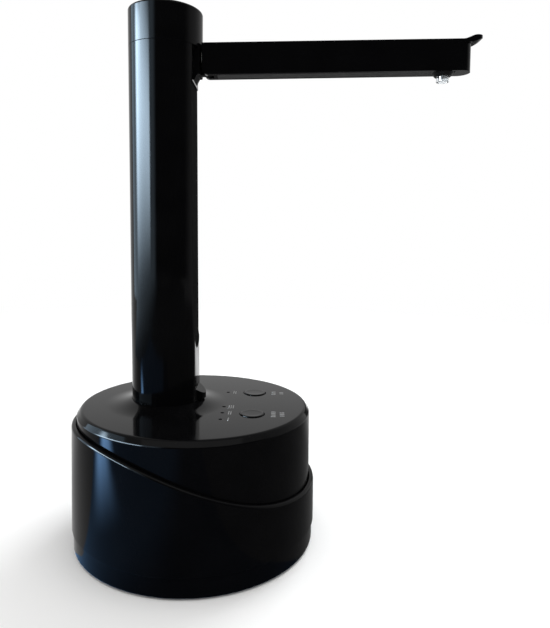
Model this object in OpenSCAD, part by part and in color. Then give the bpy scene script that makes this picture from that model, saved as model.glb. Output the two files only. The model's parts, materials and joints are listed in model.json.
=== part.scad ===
// Electric water jug pump: round base, column, folding spout arm. Millimetres, +Z up, the arm points to +X.

/* [Base] */
// Radius of the sleeve's cone where it would meet the table
base_r = 50; // [46:0.5:54]
// Draft of the base walls in degrees
base_draft = 1.2; // [1:0.1:3]
// Wall of the lower sleeve
sleeve_wall = 1.85; // [1.4:0.05:2.4]
// Gap between the sleeve and the upper housing
sleeve_gap = 0.12; // [0.08:0.02:0.2]
// Inset of the low band of the base plate from the sleeve
band_inset = 0.7; // [0.5:0.1:2]
// Height of the low band above the table
band_h = 8.5; // [7:0.25:9.5]
// Free height of the rubber foot pad under the plate
foot_rise = 0.5; // [0.3:0.1:1]
// Thickness of the floor of the base plate
floor_t = 2.4; // [2:0.1:3]
// Height of the deck
deck_z = 56.2; // [55.4:0.2:60]
// Thickness of the deck
deck_t = 2.6; // [2:0.1:3]
// Wall of the upper housing
wall_t = 2.4; // [1.8:0.1:3]
// Width of the chamfer at the deck's edge
edge_run = 1.7; // [0.8:0.1:3]
// Height of the chamfer at the deck's edge
edge_drop = 2.2; // [1:0.1:2.6]

/* [Rim] */
// Mid height of the sleeve's rim
rim_mid = 38.6; // [36:0.2:40]
// Rise and fall of the rim from its mid height
rim_amp = 12.4; // [6:0.2:13]
// Place of the rim's steepest point along X
rim_shift = 6.5; // [0:0.5:10]
// Half length of the rim's wave along X
rim_span = 49; // [45:0.5:60]

/* [Column] */
// Place of the column's axis on X
col_x = -11.9; // [-13:0.1:-11]
// Radius of the column
col_r = 14; // [13.4:0.1:14.2]
// Radius of the column's bore
col_bore = 8.6; // [8:0.1:9]
// Height of the seam between tube and cap
seam_z = 194.1; // [193.9:0.1:196]
// Height of the cap
cap_h = 13.6; // [10:0.1:20]
// Rounding of the cap's top edge
cap_round = 1.2; // [0.5:0.1:3]
// Depth of the flat at the seam
flat_depth = 2.9; // [2.6:0.1:3.3]
// Lean of the flat in degrees, shallower towards the foot
flat_tilt = 0.64; // [0.4:0.02:0.8]
// Height of the flat's lower end
flat_end = 63; // [61.6:0.2:70]
// Reach of the toe under the flat past the column
toe_run = 2; // [1:0.1:3]
// Fall of the toe's sloping top
toe_drop = 2.5; // [1.5:0.1:2.8]
// Height of the rest pad's lower end
pad_end = 79.2; // [72:0.2:100]
// Thickness of the rest pad
pad_t = 0.8; // [0.5:0.1:1]
// Depth of the pad's face below the flat
pad_sink = 0.4; // [0.2:0.1:0.4]
// Radius of the flare on the deck
flare_r = 25; // [20:0.5:27]
// Height of the flare at the column
flare_h = 1.9; // [0.8:0.1:2]

/* [Arm] */
// Width of the arm
arm_w = 8.6; // [8.4:0.1:9.4]
// Height of the arm
arm_h = 11.35; // [11:0.05:12.5]
// Length from the hinge axis to the round end
arm_len = 100; // [96:0.2:102]
// Rise of the arm above level in degrees
arm_rise = 2.13; // [0.5:0.1:2.6]
// Side walls of the arm
arm_wall = 1.3; // [1.1:0.05:1.5]
// Reach of the finger tab past the end
tab_run = 3.9; // [3:0.05:6]
// Rise of the finger tab's tip above the arm
tab_rise = 1.4; // [1:0.1:2.2]
// Distance of the outlet from the arm's round end
nozzle_in = 10.3; // [8.8:0.1:12]
// Height of the collar under the arm
collar_h = 1.35; // [1:0.05:1.5]
// Free length of the clear outlet end under the collar
tip_len = 1.9; // [1:0.1:2]

/* [Hinge] */
// Hinge axis on X
pivot_x = 4.4; // [4.4:0.05:5]
// Drop of the hinge axis below the cap's seam
pivot_drop = 7.45; // [7.4:0.05:7.8]
// Distance from the hinge axis to the arm's underside and rear
pivot_in = 1.9; // [1.8:0.05:2]
// Radius of the hinge pin
pin_r = 0.8; // [0.6:0.05:0.9]
// Width of the hinge lug
lug_w = 3; // [2.4:0.1:3.2]
// Clearance between moving faces
move_gap = 0.3; // [0.25:0.01:0.36]
// Running clearance of shafts and pins
run_gap = 0.05; // [0.03:0.01:0.08]

/* [Tubing] */
// Outer radius of the tubing
tube_r = 2.4; // [2.2:0.05:2.4]
// Wall of the tubing
tube_wall = 0.7; // [0.5:0.05:0.9]
// Bend radius of the delivery tube
bend_r = 7; // [5.8:0.1:7.4]
// Height of the tube's axis above the hinge axis
tube_up = 4.9; // [4.85:0.05:5]

/* [Panel] */
// Place of the buttons on X
button_x = 23.85; // [22:0.05:25]
// Distance of each button from the middle
button_y = 14.9; // [13:0.1:15.5]
// Radius of the buttons
button_r = 4.7; // [4.5:0.05:5.4]
// Rise of the buttons above the deck
button_rise = 0.4; // [0.2:0.1:1]
// Press travel
press_travel = 0.5; // [0.3:0.05:0.6]
// Place of the indicator lenses on X
led_x = 12.2; // [11.5:0.1:13]
// Step between the three front lenses
led_step = 7.9; // [5:0.1:8.2]
// Radius of the indicator lenses
led_r = 0.75; // [0.5:0.05:0.9]
// Thickness of the control board
board_t = 1.6; // [1:0.1:1.8]

/* [Pump] */
// Teeth of each pump gear
gear_n = 10; // [10:1:10]
// Distance between the gear axes
gear_step = 10.3; // [10.25:0.05:10.5]
// Height of the gears
gear_h = 5.6; // [4.5:0.1:5.8]
// Radius of the motor case
can_r = 12; // [11.4:0.1:12]
// Height of the motor case
can_h = 20; // [18:0.2:20]
// Radius of the motor shaft
shaft_r = 1.5; // [1.2:0.05:1.6]
// Outer radius of the inlet barb
barb_r = 3.2; // [2.6:0.1:3.4]
// Length of the inlet barb
barb_len = 12; // [8:0.5:16]

/* [Battery] */
// Radius of the cell
cell_round = 9; // [8:0.1:9.2]
// Length of the cell
cell_long = 50; // [40:0.5:50]
// Place of the cell on X
cell_side = 26; // [25:0.1:26]

/* [Hidden] */
$fn = 96;
eps = 0.01;
hold = 0.02;
drop = tan(base_draft);
function sleeve_r(z) = base_r - z * drop;
function upper_r(z) = base_r - sleeve_wall - sleeve_gap - z * drop;
function rim_z(x) = rim_mid - rim_amp * sin(max(-90, min(90, 90 * (x - rim_shift) / rim_span)));
plan = base_r / 50;
band_r = base_r - band_inset;
pivot_z = seam_z - pivot_drop;
plate_z = foot_rise;
floor_z = plate_z + floor_t;
rim_in = upper_r(band_h) - wall_t;
under_z = deck_z - deck_t;
edge_z = deck_z - edge_drop;
deck_r = upper_r(edge_z) - edge_run;

foot_out = band_r - 3.4;
foot_deep = 0.6;
head_h = 1;

screw_r = 1.4;
base_screw_ring = 39.5 * plan;
base_screw_angles = [58, 180, -58];
boss_r = 3.5;

col_gap = 0.1;
socket_wall = 2.3;
socket_r = col_r + col_gap + socket_wall;
socket_floor = 2;
socket_z = under_z - 9.4;
col_z0 = socket_z + socket_floor;
col_screw_ring = (col_bore + col_r) / 2;
flat_x = col_x + col_r - flat_depth;
flat_len = (seam_z - flat_end) / cos(flat_tilt);
foot_x = flat_x + flat_len * sin(flat_tilt);
toe_x = col_x + col_r + toe_run;
toe_half = sqrt(col_r * col_r - (foot_x - col_x) * (foot_x - col_x));
toe_r = (toe_half * toe_half + (toe_x - foot_x) * (toe_x - foot_x)) / (2 * (toe_x - foot_x));
toe_z0 = deck_z + flare_h + 0.3;
toe_slope = toe_drop / (toe_x - foot_x);
flare_rho = ((flare_r - col_r) * (flare_r - col_r) + flare_h * flare_h) / (2 * flare_h);

block_w = arm_w;
block_bot = pivot_z - pivot_in;
exit_z = pivot_z + tube_up;
window_r = tube_r + 0.2;
lug_r = pivot_in - move_gap;
pad_top = block_bot - 3.2;
pad_back = pad_t + pad_sink;
function chord(z) = sqrt(pow(col_r, 2) - pow(flat_x + (seam_z - z) * tan(flat_tilt) - pad_sink - col_x, 2));
pad_low = chord(pad_end + 7) + 0.15;
pad_high = chord(pad_top) + 0.2;
pad_z1 = (seam_z - pad_top) / cos(flat_tilt);
pad_z0 = (seam_z - pad_end) / cos(flat_tilt);

nozzle_x = arm_len - nozzle_in;
arm_top = arm_h - pivot_in;
end_x = arm_len - arm_w / 2;
tab_corner = 2.6;
cave_w = arm_w - 2 * arm_wall;
cave_top = arm_top - 1.3;
knuckle_x = pivot_in + 1.5;
notch = pivot_in + 0.2;
notch_w = lug_w + 2 * move_gap;
floor_thick = 1.4;
collar_x0 = nozzle_x - 5;
collar_x1 = nozzle_x + 3.6;
cave_end = nozzle_x + 4.2;
collar_r = arm_w / 2 - 0.1;
collar_tip_r = tube_r + 0.6;
nozzle_bend = 4.4;
pin_end = arm_w / 2 - 0.5;
washer_t = move_gap - 0.08;

key_x = button_x * plan;
key_y = button_y * plan;
lamp_x = led_x * plan;
lamp_y = key_y - 0.7;
lamp_step = led_step * plan;
post_r = 2.6;
board_x0 = 6.2 * plan;
board_x1 = 34.2 * plan;
board_y0 = -26 * plan;
board_y1 = 23.8 * plan;
board_z = under_z - 6.6;
board_posts = [for (x = [8.7, 31.8]) for (y = [-23.5, 21.4]) [x * plan, y * plan]];
switch_h = 3.5;
switch_w = 6;
plunger_r = 1.75;
plunger_in = 1.1;
stem_z = board_z + switch_h + 1.3;
button_gap = move_gap;
flange_r = button_r + 1.1;
flange_t = 1;
led_h = 1;
led_spots = concat([[lamp_x, key_y]], [for (i = [-1, 0, 1]) [lamp_x, i * lamp_step - lamp_y]]);
button_ys = [key_y, -key_y];

pump_z = 9;
pump_floor = 2.4;
gear_gap = 0.3;
body_top = pump_z + pump_floor + gear_h + 2 * gear_gap;
cover_t = 3;
cover_top = body_top + cover_t;
gear_z = pump_z + pump_floor + gear_gap;
port_z = gear_z + gear_h / 2;
drive_x = col_x - gear_step / 2;
driven_x = col_x + gear_step / 2;
pump_y = -23 * plan;
tip_r = gear_step / 2 + 0.9;
root_r = gear_step / 2 - 1.25;
cave_r = tip_r + 0.15;
body_x0 = drive_x - cave_r - 2.4;
body_x1 = driven_x + cave_r + 2.4;
body_y0 = pump_y - cave_r - 4.8;
body_y1 = pump_y + cave_r + 2.4;
inlet_y = pump_y - cave_r - 2.2;
pump_ears = [[body_x1 + 3.2, pump_y], [body_x0 - 5.6, pump_y + 8], [col_x + 3, body_y0 - 3]];
ear_r = 3.2;
pump_pad = 1.5;
stub_r = tube_r - tube_wall;
stub_bore = stub_r - 0.6;
port_r = 1.6;
can_top = cover_top + can_h;
can_wall = 1;
bush_r = 3;
arm_r = can_r - can_wall - 3;
motor_screw_step = 8;
cap_in = 1.6;
cap_out = 1.2;

run_x = 11 * plan;
suction_bend = 5 * plan;
stub_in = base_r - 12;
boss_y = base_r;
boss_root = boss_y - 10;
inlet_boss_r = 5.6;
inlet_body_r = 3.6;

charge_angle = 118;
charge_mid = base_r - 11;
charge_board_t = 1.2;
charge_z = 14;
charge_out = base_r - 4.6;
socket_w = 9;
socket_h = 3.2;

cell_r = cell_round * plan;
cell_len = cell_long * plan;
cell_x = cell_side * plan;
cell_z = floor_z + 1.2 + cell_r;
cradle_w = 2 * cell_r + 3;
cradle_step = cell_len * 0.3;

module at_arm() {
    translate([pivot_x, 0, pivot_z]) rotate([0, -arm_rise, 0]) children();
}

module at_flat() {
    translate([flat_x, 0, seam_z]) rotate([0, -flat_tilt, 0]) children();
}

module along_y(w) {
    rotate([90, 0, 0]) linear_extrude(w, center = true) children();
}

module ring(r, wall, h) {
    difference() {
        cylinder(r = r, h = h);
        translate([0, 0, -1]) cylinder(r = r - wall, h = h + 2);
    }
}

module screw(r, head_r, head_h, length) {
    cylinder(r = head_r, h = head_h);
    translate([0, 0, head_h - eps]) cylinder(r = r, h = length + eps);
}

module at_ears() {
    for (p = pump_ears) translate([p[0], p[1], 0]) children();
}

module at_base_screws() {
    for (a = base_screw_angles) rotate([0, 0, a]) translate([base_screw_ring, 0, 0]) children();
}

module at_col_screws() {
    for (a = [60, 180, 300]) translate([col_x, 0, 0]) rotate([0, 0, a]) translate([col_screw_ring, 0, 0])
        children();
}

module charge_slot() {
    rotate([0, 0, charge_angle]) translate([charge_mid, -socket_w / 2 - 0.3, charge_z - 0.3])
        cube([20, socket_w + 0.6, socket_h + 0.6]);
}

module base_plate() color([0.05, 0.05, 0.055]) {
    difference() {
        union() {
            translate([0, 0, plate_z]) cylinder(r = band_r, h = floor_t);
            translate([0, 0, plate_z]) ring(band_r, band_r - rim_in, band_h - plate_z);
            at_ears() translate([0, 0, floor_z - eps])
                cylinder(r = ear_r, h = pump_z - pump_pad - floor_z + eps);
            rotate([0, 0, charge_angle]) for (y = [-4.2, 2.2]) translate([charge_mid - 6, y, floor_z - eps])
                cube([8, 2, charge_z - charge_board_t - floor_z + eps]);
        }
        translate([0, 0, plate_z - 1]) cylinder(r = foot_out + hold, h = 1 + foot_deep);
        at_base_screws() translate([0, 0, -1]) cylinder(r = screw_r + 0.2, h = floor_z + 2);
        at_base_screws() translate([0, 0, -1]) cylinder(r = 2.8, h = 1 + plate_z + foot_deep + head_h);
        at_ears() translate([0, 0, floor_z]) cylinder(r = screw_r + hold, h = pump_z);
    }
}

module foot_pad() color([0.03, 0.03, 0.03]) {
    cylinder(r = foot_out, h = plate_z + foot_deep);
}

module rim_cut() {
    rotate([90, 0, 0]) linear_extrude(3 * base_r, center = true)
        polygon(concat([[-base_r - 4, band_h - 10]], [[base_r + 4, band_h - 10]],
                       [for (i = [26:-1:-26]) [i * (base_r + 4) / 26, rim_z(i * (base_r + 4) / 26)]]));
}

module lower_sleeve() color([0.03, 0.03, 0.035]) {
    top = deck_z - edge_drop - 0.4;
    difference() {
        intersection() {
            rotate_extrude() polygon([[upper_r(band_h) + sleeve_gap, band_h], [sleeve_r(band_h), band_h],
                                      [sleeve_r(top), top], [upper_r(top) + sleeve_gap, top]]);
            rim_cut();
        }
        translate([run_x, 0, port_z]) rotate([-90, 0, 0])
            cylinder(r = inlet_boss_r + 0.3, h = 2 * base_r);
        charge_slot();
    }
}

module flare_profile() {
    difference() {
        translate([col_r - 1, -0.5]) square([flare_r - col_r + 1, flare_h + 0.5]);
        translate([flare_r, flare_rho]) circle(r = flare_rho, $fn = 360);
    }
}

module upper_housing() color([0.035, 0.035, 0.04]) {
    difference() {
        union() {
            rotate_extrude() polygon([[rim_in, band_h], [upper_r(band_h), band_h],
                                      [upper_r(edge_z), edge_z], [deck_r, deck_z], [0, deck_z], [0, under_z],
                                      [upper_r(under_z) - wall_t, under_z]]);
            translate([col_x, 0, deck_z]) rotate_extrude() flare_profile();
            translate([col_x, 0, socket_z]) cylinder(r = socket_r, h = under_z - socket_z + eps);
            at_base_screws() translate([0, 0, floor_z]) cylinder(r = boss_r, h = under_z - floor_z + eps);
            for (p = board_posts) translate([p[0], p[1], board_z])
                cylinder(r = post_r, h = under_z - board_z + eps);
            intersection() {
                translate([run_x, boss_root, port_z]) rotate([-90, 0, 0])
                    cylinder(r = inlet_boss_r, h = boss_y - boss_root);
                cylinder(r = base_r + 5, h = deck_z);
            }
        }
        translate([col_x, 0, col_z0]) cylinder(r = col_r + col_gap, h = deck_z);
        translate([col_x, 0, socket_z - 1]) cylinder(r = col_bore, h = 10);
        at_col_screws() translate([0, 0, socket_z - 1]) cylinder(r = 1.2, h = 10);
        at_base_screws() translate([0, 0, floor_z - 1]) cylinder(r = screw_r + hold, h = 15);
        for (p = board_posts) translate([p[0], p[1], board_z - 1]) cylinder(r = 1 + hold, h = 6);
        for (y = button_ys) translate([key_x, y, under_z - 1])
            cylinder(r = button_r + button_gap, h = deck_t + 2);
        for (p = led_spots) translate([p[0], p[1], under_z - 1])
            cylinder(r = led_r + hold, h = deck_t + 2);
        translate([run_x, stub_in, port_z]) rotate([-90, 0, 0])
            cylinder(r = inlet_body_r + hold, h = base_r);
        charge_slot();
    }
}

module base_screws() color([0.6, 0.6, 0.62]) {
    at_base_screws() translate([0, 0, plate_z + foot_deep]) screw(screw_r, 2.6, head_h, 13);
}

module control_board() color([0.05, 0.25, 0.12]) {
    difference() {
        translate([board_x0, board_y0, board_z - board_t])
            cube([board_x1 - board_x0, board_y1 - board_y0, board_t]);
        for (p = board_posts) translate([p[0], p[1], board_z - 5]) cylinder(r = 1.2, h = 10);
    }
}

module board_screws() color([0.6, 0.6, 0.62]) {
    for (p = board_posts) translate([p[0], p[1], board_z - board_t - 1.2]) screw(1, 1.9, 1.2, board_t + 4);
}

module tact_switches() color([0.12, 0.12, 0.13]) {
    for (y = button_ys) translate([key_x, y, board_z]) difference() {
        translate([-switch_w / 2, -switch_w / 2, 0]) cube([switch_w, switch_w, switch_h]);
        translate([0, 0, switch_h - plunger_in - press_travel - 0.2])
            cylinder(r = plunger_r + move_gap, h = 5);
    }
}

module status_leds() color([0.85, 0.85, 0.8]) {
    for (p = led_spots) translate([p[0] - 0.8, p[1] - 0.6, board_z]) cube([1.6, 1.2, led_h]);
}

module light_pipes() color([0.03, 0.03, 0.033]) {
    for (p = led_spots) translate([p[0], p[1], board_z + led_h])
        cylinder(r = led_r, h = deck_z - board_z - led_h);
}

module charge_board() color([0.05, 0.25, 0.12]) {
    rotate([0, 0, charge_angle]) translate([charge_mid - 6, -6, charge_z - charge_board_t])
        cube([10.4, 12, charge_board_t]);
}

module charge_socket() color([0.7, 0.7, 0.72]) {
    rotate([0, 0, charge_angle]) translate([charge_out - 7.2, 0, charge_z]) difference() {
        translate([0, -socket_w / 2, 0]) cube([7.2, socket_w, socket_h]);
        translate([1.2, -socket_w / 2 + 0.4, 0.4]) cube([10, socket_w - 0.8, socket_h - 0.8]);
    }
    rotate([0, 0, charge_angle]) translate([charge_out - 6.1, -3, charge_z + socket_h / 2 - 0.35])
        cube([5, 6, 0.7]);
}

module battery_cell() color([0.1, 0.25, 0.5]) {
    translate([cell_x, 0, cell_z]) rotate([90, 0, 0]) cylinder(r = cell_r, h = cell_len, center = true);
}

module cell_tabs() color([0.75, 0.74, 0.7]) {
    for (s = [-1, 1]) translate([cell_x - 3, s > 0 ? cell_len / 2 : -cell_len / 2 - 0.3, cell_z - 4])
        cube([6, 0.3, 8]);
}

module battery_cradle() color([0.1, 0.1, 0.1]) {
    difference() {
        union() {
            translate([cell_x - cradle_w / 2, -cradle_step - 3, floor_z])
                cube([cradle_w, 2 * cradle_step + 6, 1.1]);
            for (y = [-cradle_step, cradle_step]) translate([cell_x - cradle_w / 2, y - 3, floor_z])
                cube([cradle_w, 6, cell_r * 1.1]);
        }
        translate([cell_x, 0, cell_z]) rotate([90, 0, 0])
            cylinder(r = cell_r + hold, h = 100, center = true);
    }
}

module hose_inlet() color([0.07, 0.07, 0.075]) {
    translate([run_x, 0, port_z]) rotate([-90, 0, 0]) difference() {
        union() {
            translate([0, 0, stub_in]) cylinder(r = stub_r, h = 4.5);
            translate([0, 0, stub_in + 4]) cylinder(r = inlet_body_r, h = boss_y - stub_in - 4 + eps);
            translate([0, 0, boss_y]) cylinder(r = inlet_boss_r - 0.2, h = 1.6);
            translate([0, 0, boss_y + 1.5]) cylinder(r = barb_r - 0.4, h = barb_len + 0.1);
            for (i = [1, 2, 3]) translate([0, 0, boss_y + 1.6 + barb_len * i / 4]) {
                cylinder(r = barb_r, h = 0.8);
                translate([0, 0, 0.8]) cylinder(r1 = barb_r, r2 = barb_r - 0.4, h = 1.1);
            }
        }
        translate([0, 0, stub_in - 1]) cylinder(r = stub_bore, h = 100);
    }
}

module suction_path(r, more) {
    translate([body_x1 + 0.4 - more, inlet_y, port_z]) rotate([0, 90, 0])
        cylinder(r = r, h = run_x - suction_bend - body_x1 - 0.4 + more);
    translate([run_x - suction_bend, inlet_y + suction_bend, port_z]) rotate([0, 0, -90])
        rotate_extrude(angle = 90) translate([suction_bend, 0]) circle(r = r);
    translate([run_x, inlet_y + suction_bend, port_z]) rotate([-90, 0, 0])
        cylinder(r = r, h = stub_in + 3.6 - inlet_y - suction_bend + more);
}

module suction_tube() color([0.75, 0.78, 0.8]) {
    difference() {
        suction_path(tube_r, 0);
        suction_path(stub_r + hold, 1);
    }
}

module delivery_path(r, more) {
    translate([col_x, body_y1 + 0.4 - more, port_z]) rotate([-90, 0, 0])
        cylinder(r = r, h = -bend_r - body_y1 - 0.4 + more);
    translate([col_x, -bend_r, port_z + bend_r]) rotate([90, 0, 90]) rotate([0, 0, -90])
        rotate_extrude(angle = 90) translate([bend_r, 0]) circle(r = r);
    translate([col_x, 0, port_z + bend_r]) cylinder(r = r, h = exit_z - port_z - 2 * bend_r);
    translate([col_x + bend_r, 0, exit_z - bend_r]) rotate([90, 0, 0]) rotate([0, 0, 90])
        rotate_extrude(angle = 90) translate([bend_r, 0]) circle(r = r);
    translate([col_x + bend_r, 0, exit_z]) rotate([0, 90, 0])
        cylinder(r = r, h = col_bore - bend_r + 0.6 + more);
}

module delivery_tube() color([0.75, 0.78, 0.8]) {
    difference() {
        delivery_path(tube_r, 0);
        delivery_path(stub_r + hold, 1);
    }
}

module motor_case() color([0.62, 0.63, 0.64]) {
    translate([drive_x, pump_y, 0]) difference() {
        translate([0, 0, cover_top]) cylinder(r = can_r, h = can_h);
        translate([0, 0, cover_top + 1.2]) cylinder(r = can_r - can_wall, h = can_h);
        translate([0, 0, cover_top - 1]) cylinder(r = bush_r + hold, h = 5);
        for (s = [-1, 1]) translate([0, s * motor_screw_step, cover_top - 1])
            cylinder(r = 1 + hold, h = 5);
    }
}

module motor_end_cap() color([0.08, 0.08, 0.08]) {
    translate([drive_x, pump_y, 0]) difference() {
        union() {
            translate([0, 0, can_top - cap_in]) cylinder(r = can_r - can_wall - hold, h = cap_in);
            translate([0, 0, can_top]) cylinder(r = can_r - 0.4, h = cap_out);
        }
        translate([0, 0, can_top - 5]) cylinder(r = bush_r + hold, h = 5 + cap_out - 0.5);
        for (s = [-1, 1]) translate([s * 6.5 - 0.3, -1.5, can_top - 5]) cube([0.6, 3, 10]);
    }
}

module motor_terminals() color([0.75, 0.6, 0.3]) {
    for (s = [-1, 1]) translate([drive_x + s * 6.5 - 0.28, pump_y - 1.48, can_top - cap_in])
        cube([0.56, 2.96, cap_in + cap_out + 0.2]);
}

module motor_magnets() color([0.2, 0.2, 0.2]) {
    translate([drive_x, pump_y, cover_top + 3.2]) difference() {
        ring(can_r - can_wall - hold, 2.4, can_h - 7.4);
        translate([-3, -can_r, -1]) cube([6, 2 * can_r, can_h]);
    }
}

module motor_bearings() color([0.7, 0.55, 0.3]) {
    translate([drive_x, pump_y, cover_top]) ring(bush_r, bush_r - shaft_r - run_gap, 2.6);
    translate([drive_x, pump_y, can_top - cap_in])
        ring(bush_r, bush_r - shaft_r - run_gap, cap_in + cap_out - 0.6);
}

module motor_screws() color([0.6, 0.6, 0.62]) {
    for (s = [-1, 1]) translate([drive_x, pump_y + s * motor_screw_step, body_top + 0.2])
        screw(1, 1.8, 1.2, cover_t - 0.2);
}

module pump_outline() {
    translate([body_x0, body_y0]) square([body_x1 - body_x0, body_y1 - body_y0]);
    for (p = pump_ears) translate(p) circle(r = ear_r);
    translate([pump_ears[1][0], pump_ears[1][1] - ear_r])
        square([body_x0 - pump_ears[1][0] + 1, 2 * ear_r]);
    translate([pump_ears[0][0] - 4, pump_ears[0][1] - ear_r]) square([4, 2 * ear_r]);
    translate([pump_ears[2][0] - ear_r, pump_ears[2][1]]) square([2 * ear_r, 4]);
}

module pump_body() color([0.2, 0.2, 0.22]) {
    difference() {
        union() {
            translate([0, 0, pump_z]) linear_extrude(body_top - pump_z) pump_outline();
            translate([body_x1 - eps, inlet_y, port_z]) rotate([0, 90, 0]) cylinder(r = stub_r, h = 3.2);
            translate([col_x, body_y1 - eps, port_z]) rotate([-90, 0, 0]) cylinder(r = stub_r, h = 3.6);
        }
        for (x = [drive_x, driven_x]) translate([x, pump_y, pump_z + pump_floor])
            cylinder(r = cave_r, h = 20);
        translate([driven_x, pump_y, pump_z + 0.6]) cylinder(r = shaft_r + hold, h = 20);
        translate([col_x - port_r, inlet_y, gear_z]) cube([2 * port_r, pump_y - inlet_y - 3, gear_h]);
        translate([col_x - port_r, inlet_y, port_z]) rotate([0, 90, 0]) cylinder(r = stub_bore, h = 60);
        translate([col_x, pump_y + 3, port_z]) rotate([-90, 0, 0]) cylinder(r = stub_bore, h = 60);
        at_ears() translate([0, 0, pump_z - 1]) cylinder(r = screw_r + 0.1, h = 30);
    }
}

module pump_cover() color([0.2, 0.2, 0.22]) {
    difference() {
        translate([0, 0, body_top]) linear_extrude(cover_t) pump_outline();
        translate([drive_x, pump_y, body_top - 1]) cylinder(r = shaft_r + 0.4, h = 10);
        translate([drive_x, pump_y, body_top + 1]) cylinder(r = bush_r + 0.4 + hold, h = 10);
        for (s = [-1, 1]) translate([drive_x, pump_y + s * motor_screw_step, body_top - 1]) {
            cylinder(r = 1.1, h = 10);
            cylinder(r = 1.9, h = 2.4);
        }
        at_ears() translate([0, 0, body_top - 1]) cylinder(r = screw_r + 0.1, h = 30);
    }
}

module pump_screws() color([0.6, 0.6, 0.62]) {
    at_ears() translate([0, 0, cover_top + 1.4]) rotate([180, 0, 0])
        screw(screw_r, 2.5, 1.4, cover_top - floor_z - 0.6);
}

module pump_feet() color([0.04, 0.04, 0.04]) {
    at_ears() translate([0, 0, pump_z - pump_pad]) ring(ear_r, ear_r - screw_r - 0.1, pump_pad);
}

module shaft_seal() color([0.1, 0.1, 0.1]) {
    translate([drive_x, pump_y, body_top + 1])
        ring(bush_r + 0.4, bush_r + 0.4 - shaft_r - run_gap, cover_t - 1);
}

module gear_post() color([0.7, 0.7, 0.72]) {
    translate([driven_x, pump_y, pump_z + 0.6]) cylinder(r = shaft_r, h = body_top - pump_z - 0.7);
}

module flat_cut() {
    difference() {
        at_flat() along_y(2 * col_r + 4)
            polygon([[0, 4], [12, 4], [12, -flat_len - 12 * toe_slope], [0, -flat_len]]);
        along_y(block_w) polygon([[flat_x - 6, block_bot - 2.3], [pivot_x - 5, block_bot - 2.3],
                                  [pivot_x - 3.75, block_bot], [pivot_x + 20, block_bot],
                                  [pivot_x + 20, seam_z + 20], [flat_x - 6, seam_z + 20]]);
    }
}

module pad_outline(more) {
    polygon([[-pad_low - more, -pad_z0 + pad_low], [pad_low + more, -pad_z0 + pad_low],
             [pad_high + more, -pad_z1 + more], [-pad_high - more, -pad_z1 + more]]);
    translate([0, -pad_z0 + pad_low]) circle(r = pad_low + more);
}

module column_tube() color([0.03, 0.03, 0.035]) {
    difference() {
        union() {
            difference() {
                union() {
                    translate([col_x, 0, col_z0]) cylinder(r = col_r, h = seam_z - col_z0);
                    translate([toe_x - toe_r, 0, toe_z0]) cylinder(r = toe_r, h = flat_end - toe_z0);
                }
                flat_cut();
            }
            along_y(lug_w) {
                translate([pivot_x, pivot_z]) circle(r = lug_r);
                translate([col_x + col_bore + 1.8, pivot_z - lug_r])
                    square([pivot_x - col_x - col_bore - 1.8, 2 * lug_r]);
            }
        }
        translate([col_x, 0, col_z0 - 1]) cylinder(r = col_bore, h = seam_z);
        translate([col_x, 0, 0]) rotate([90, 0, 90]) linear_extrude(col_r + 5) {
            translate([0, exit_z]) circle(r = window_r);
            translate([-window_r, exit_z]) square([2 * window_r, seam_z - exit_z + 2]);
        }
        at_flat() translate([-pad_back, 0, 0]) rotate([90, 0, 90]) linear_extrude(4) pad_outline(hold);
        translate([pivot_x, 0, pivot_z]) rotate([90, 0, 0])
            cylinder(r = pin_r + run_gap, h = 20, center = true);
        at_col_screws() translate([0, 0, col_z0 - 1]) cylinder(r = 1 + hold, h = 11);
    }
}

module column_cap() color([0.03, 0.03, 0.035]) {
    lip_r = col_bore - 0.08;
    translate([col_x, 0, 0]) difference() {
        union() {
            translate([0, 0, seam_z]) rotate_extrude() {
                square([col_r, cap_h - cap_round]);
                square([col_r - cap_round, cap_h]);
                translate([col_r - cap_round, cap_h - cap_round]) circle(r = cap_round);
            }
            translate([0, 0, seam_z - 6]) cylinder(r = lip_r, h = 7);
        }
        translate([0, 0, seam_z - 7]) cylinder(r = lip_r - 1.3, h = cap_h + 4.6);
        translate([0, -tube_r - 0.4, seam_z - 10]) cube([col_r, 2 * tube_r + 0.8, 10]);
    }
}

module column_screws() color([0.6, 0.6, 0.62]) {
    at_col_screws() translate([0, 0, socket_z - 1.4]) screw(1, 2, 1.4, socket_floor + 8);
}

module rest_pad() color([0.02, 0.02, 0.02]) {
    intersection() {
        at_flat() translate([-pad_back, 0, 0]) rotate([90, 0, 90]) linear_extrude(pad_t) pad_outline(0);
        translate([col_x, 0, col_z0]) cylinder(r = col_r - hold, h = seam_z - col_z0);
    }
}

module arm_plan(shift) {
    translate([-pivot_in, -arm_w / 2]) square([end_x + shift + pivot_in, arm_w]);
    translate([end_x + shift, 0]) circle(r = arm_w / 2);
}

module tab_plan() {
    corner_x = arm_len + tab_run - tab_corner;
    corner_y = arm_w / 2 - tab_corner;
    translate([end_x - 5, -arm_w / 2]) square([corner_x - end_x + 5, arm_w]);
    translate([end_x, -corner_y]) square([arm_len + tab_run - end_x, 2 * corner_y]);
    translate([corner_x, corner_y]) circle(r = tab_corner);
    translate([corner_x, -corner_y]) circle(r = tab_corner);
}

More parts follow.
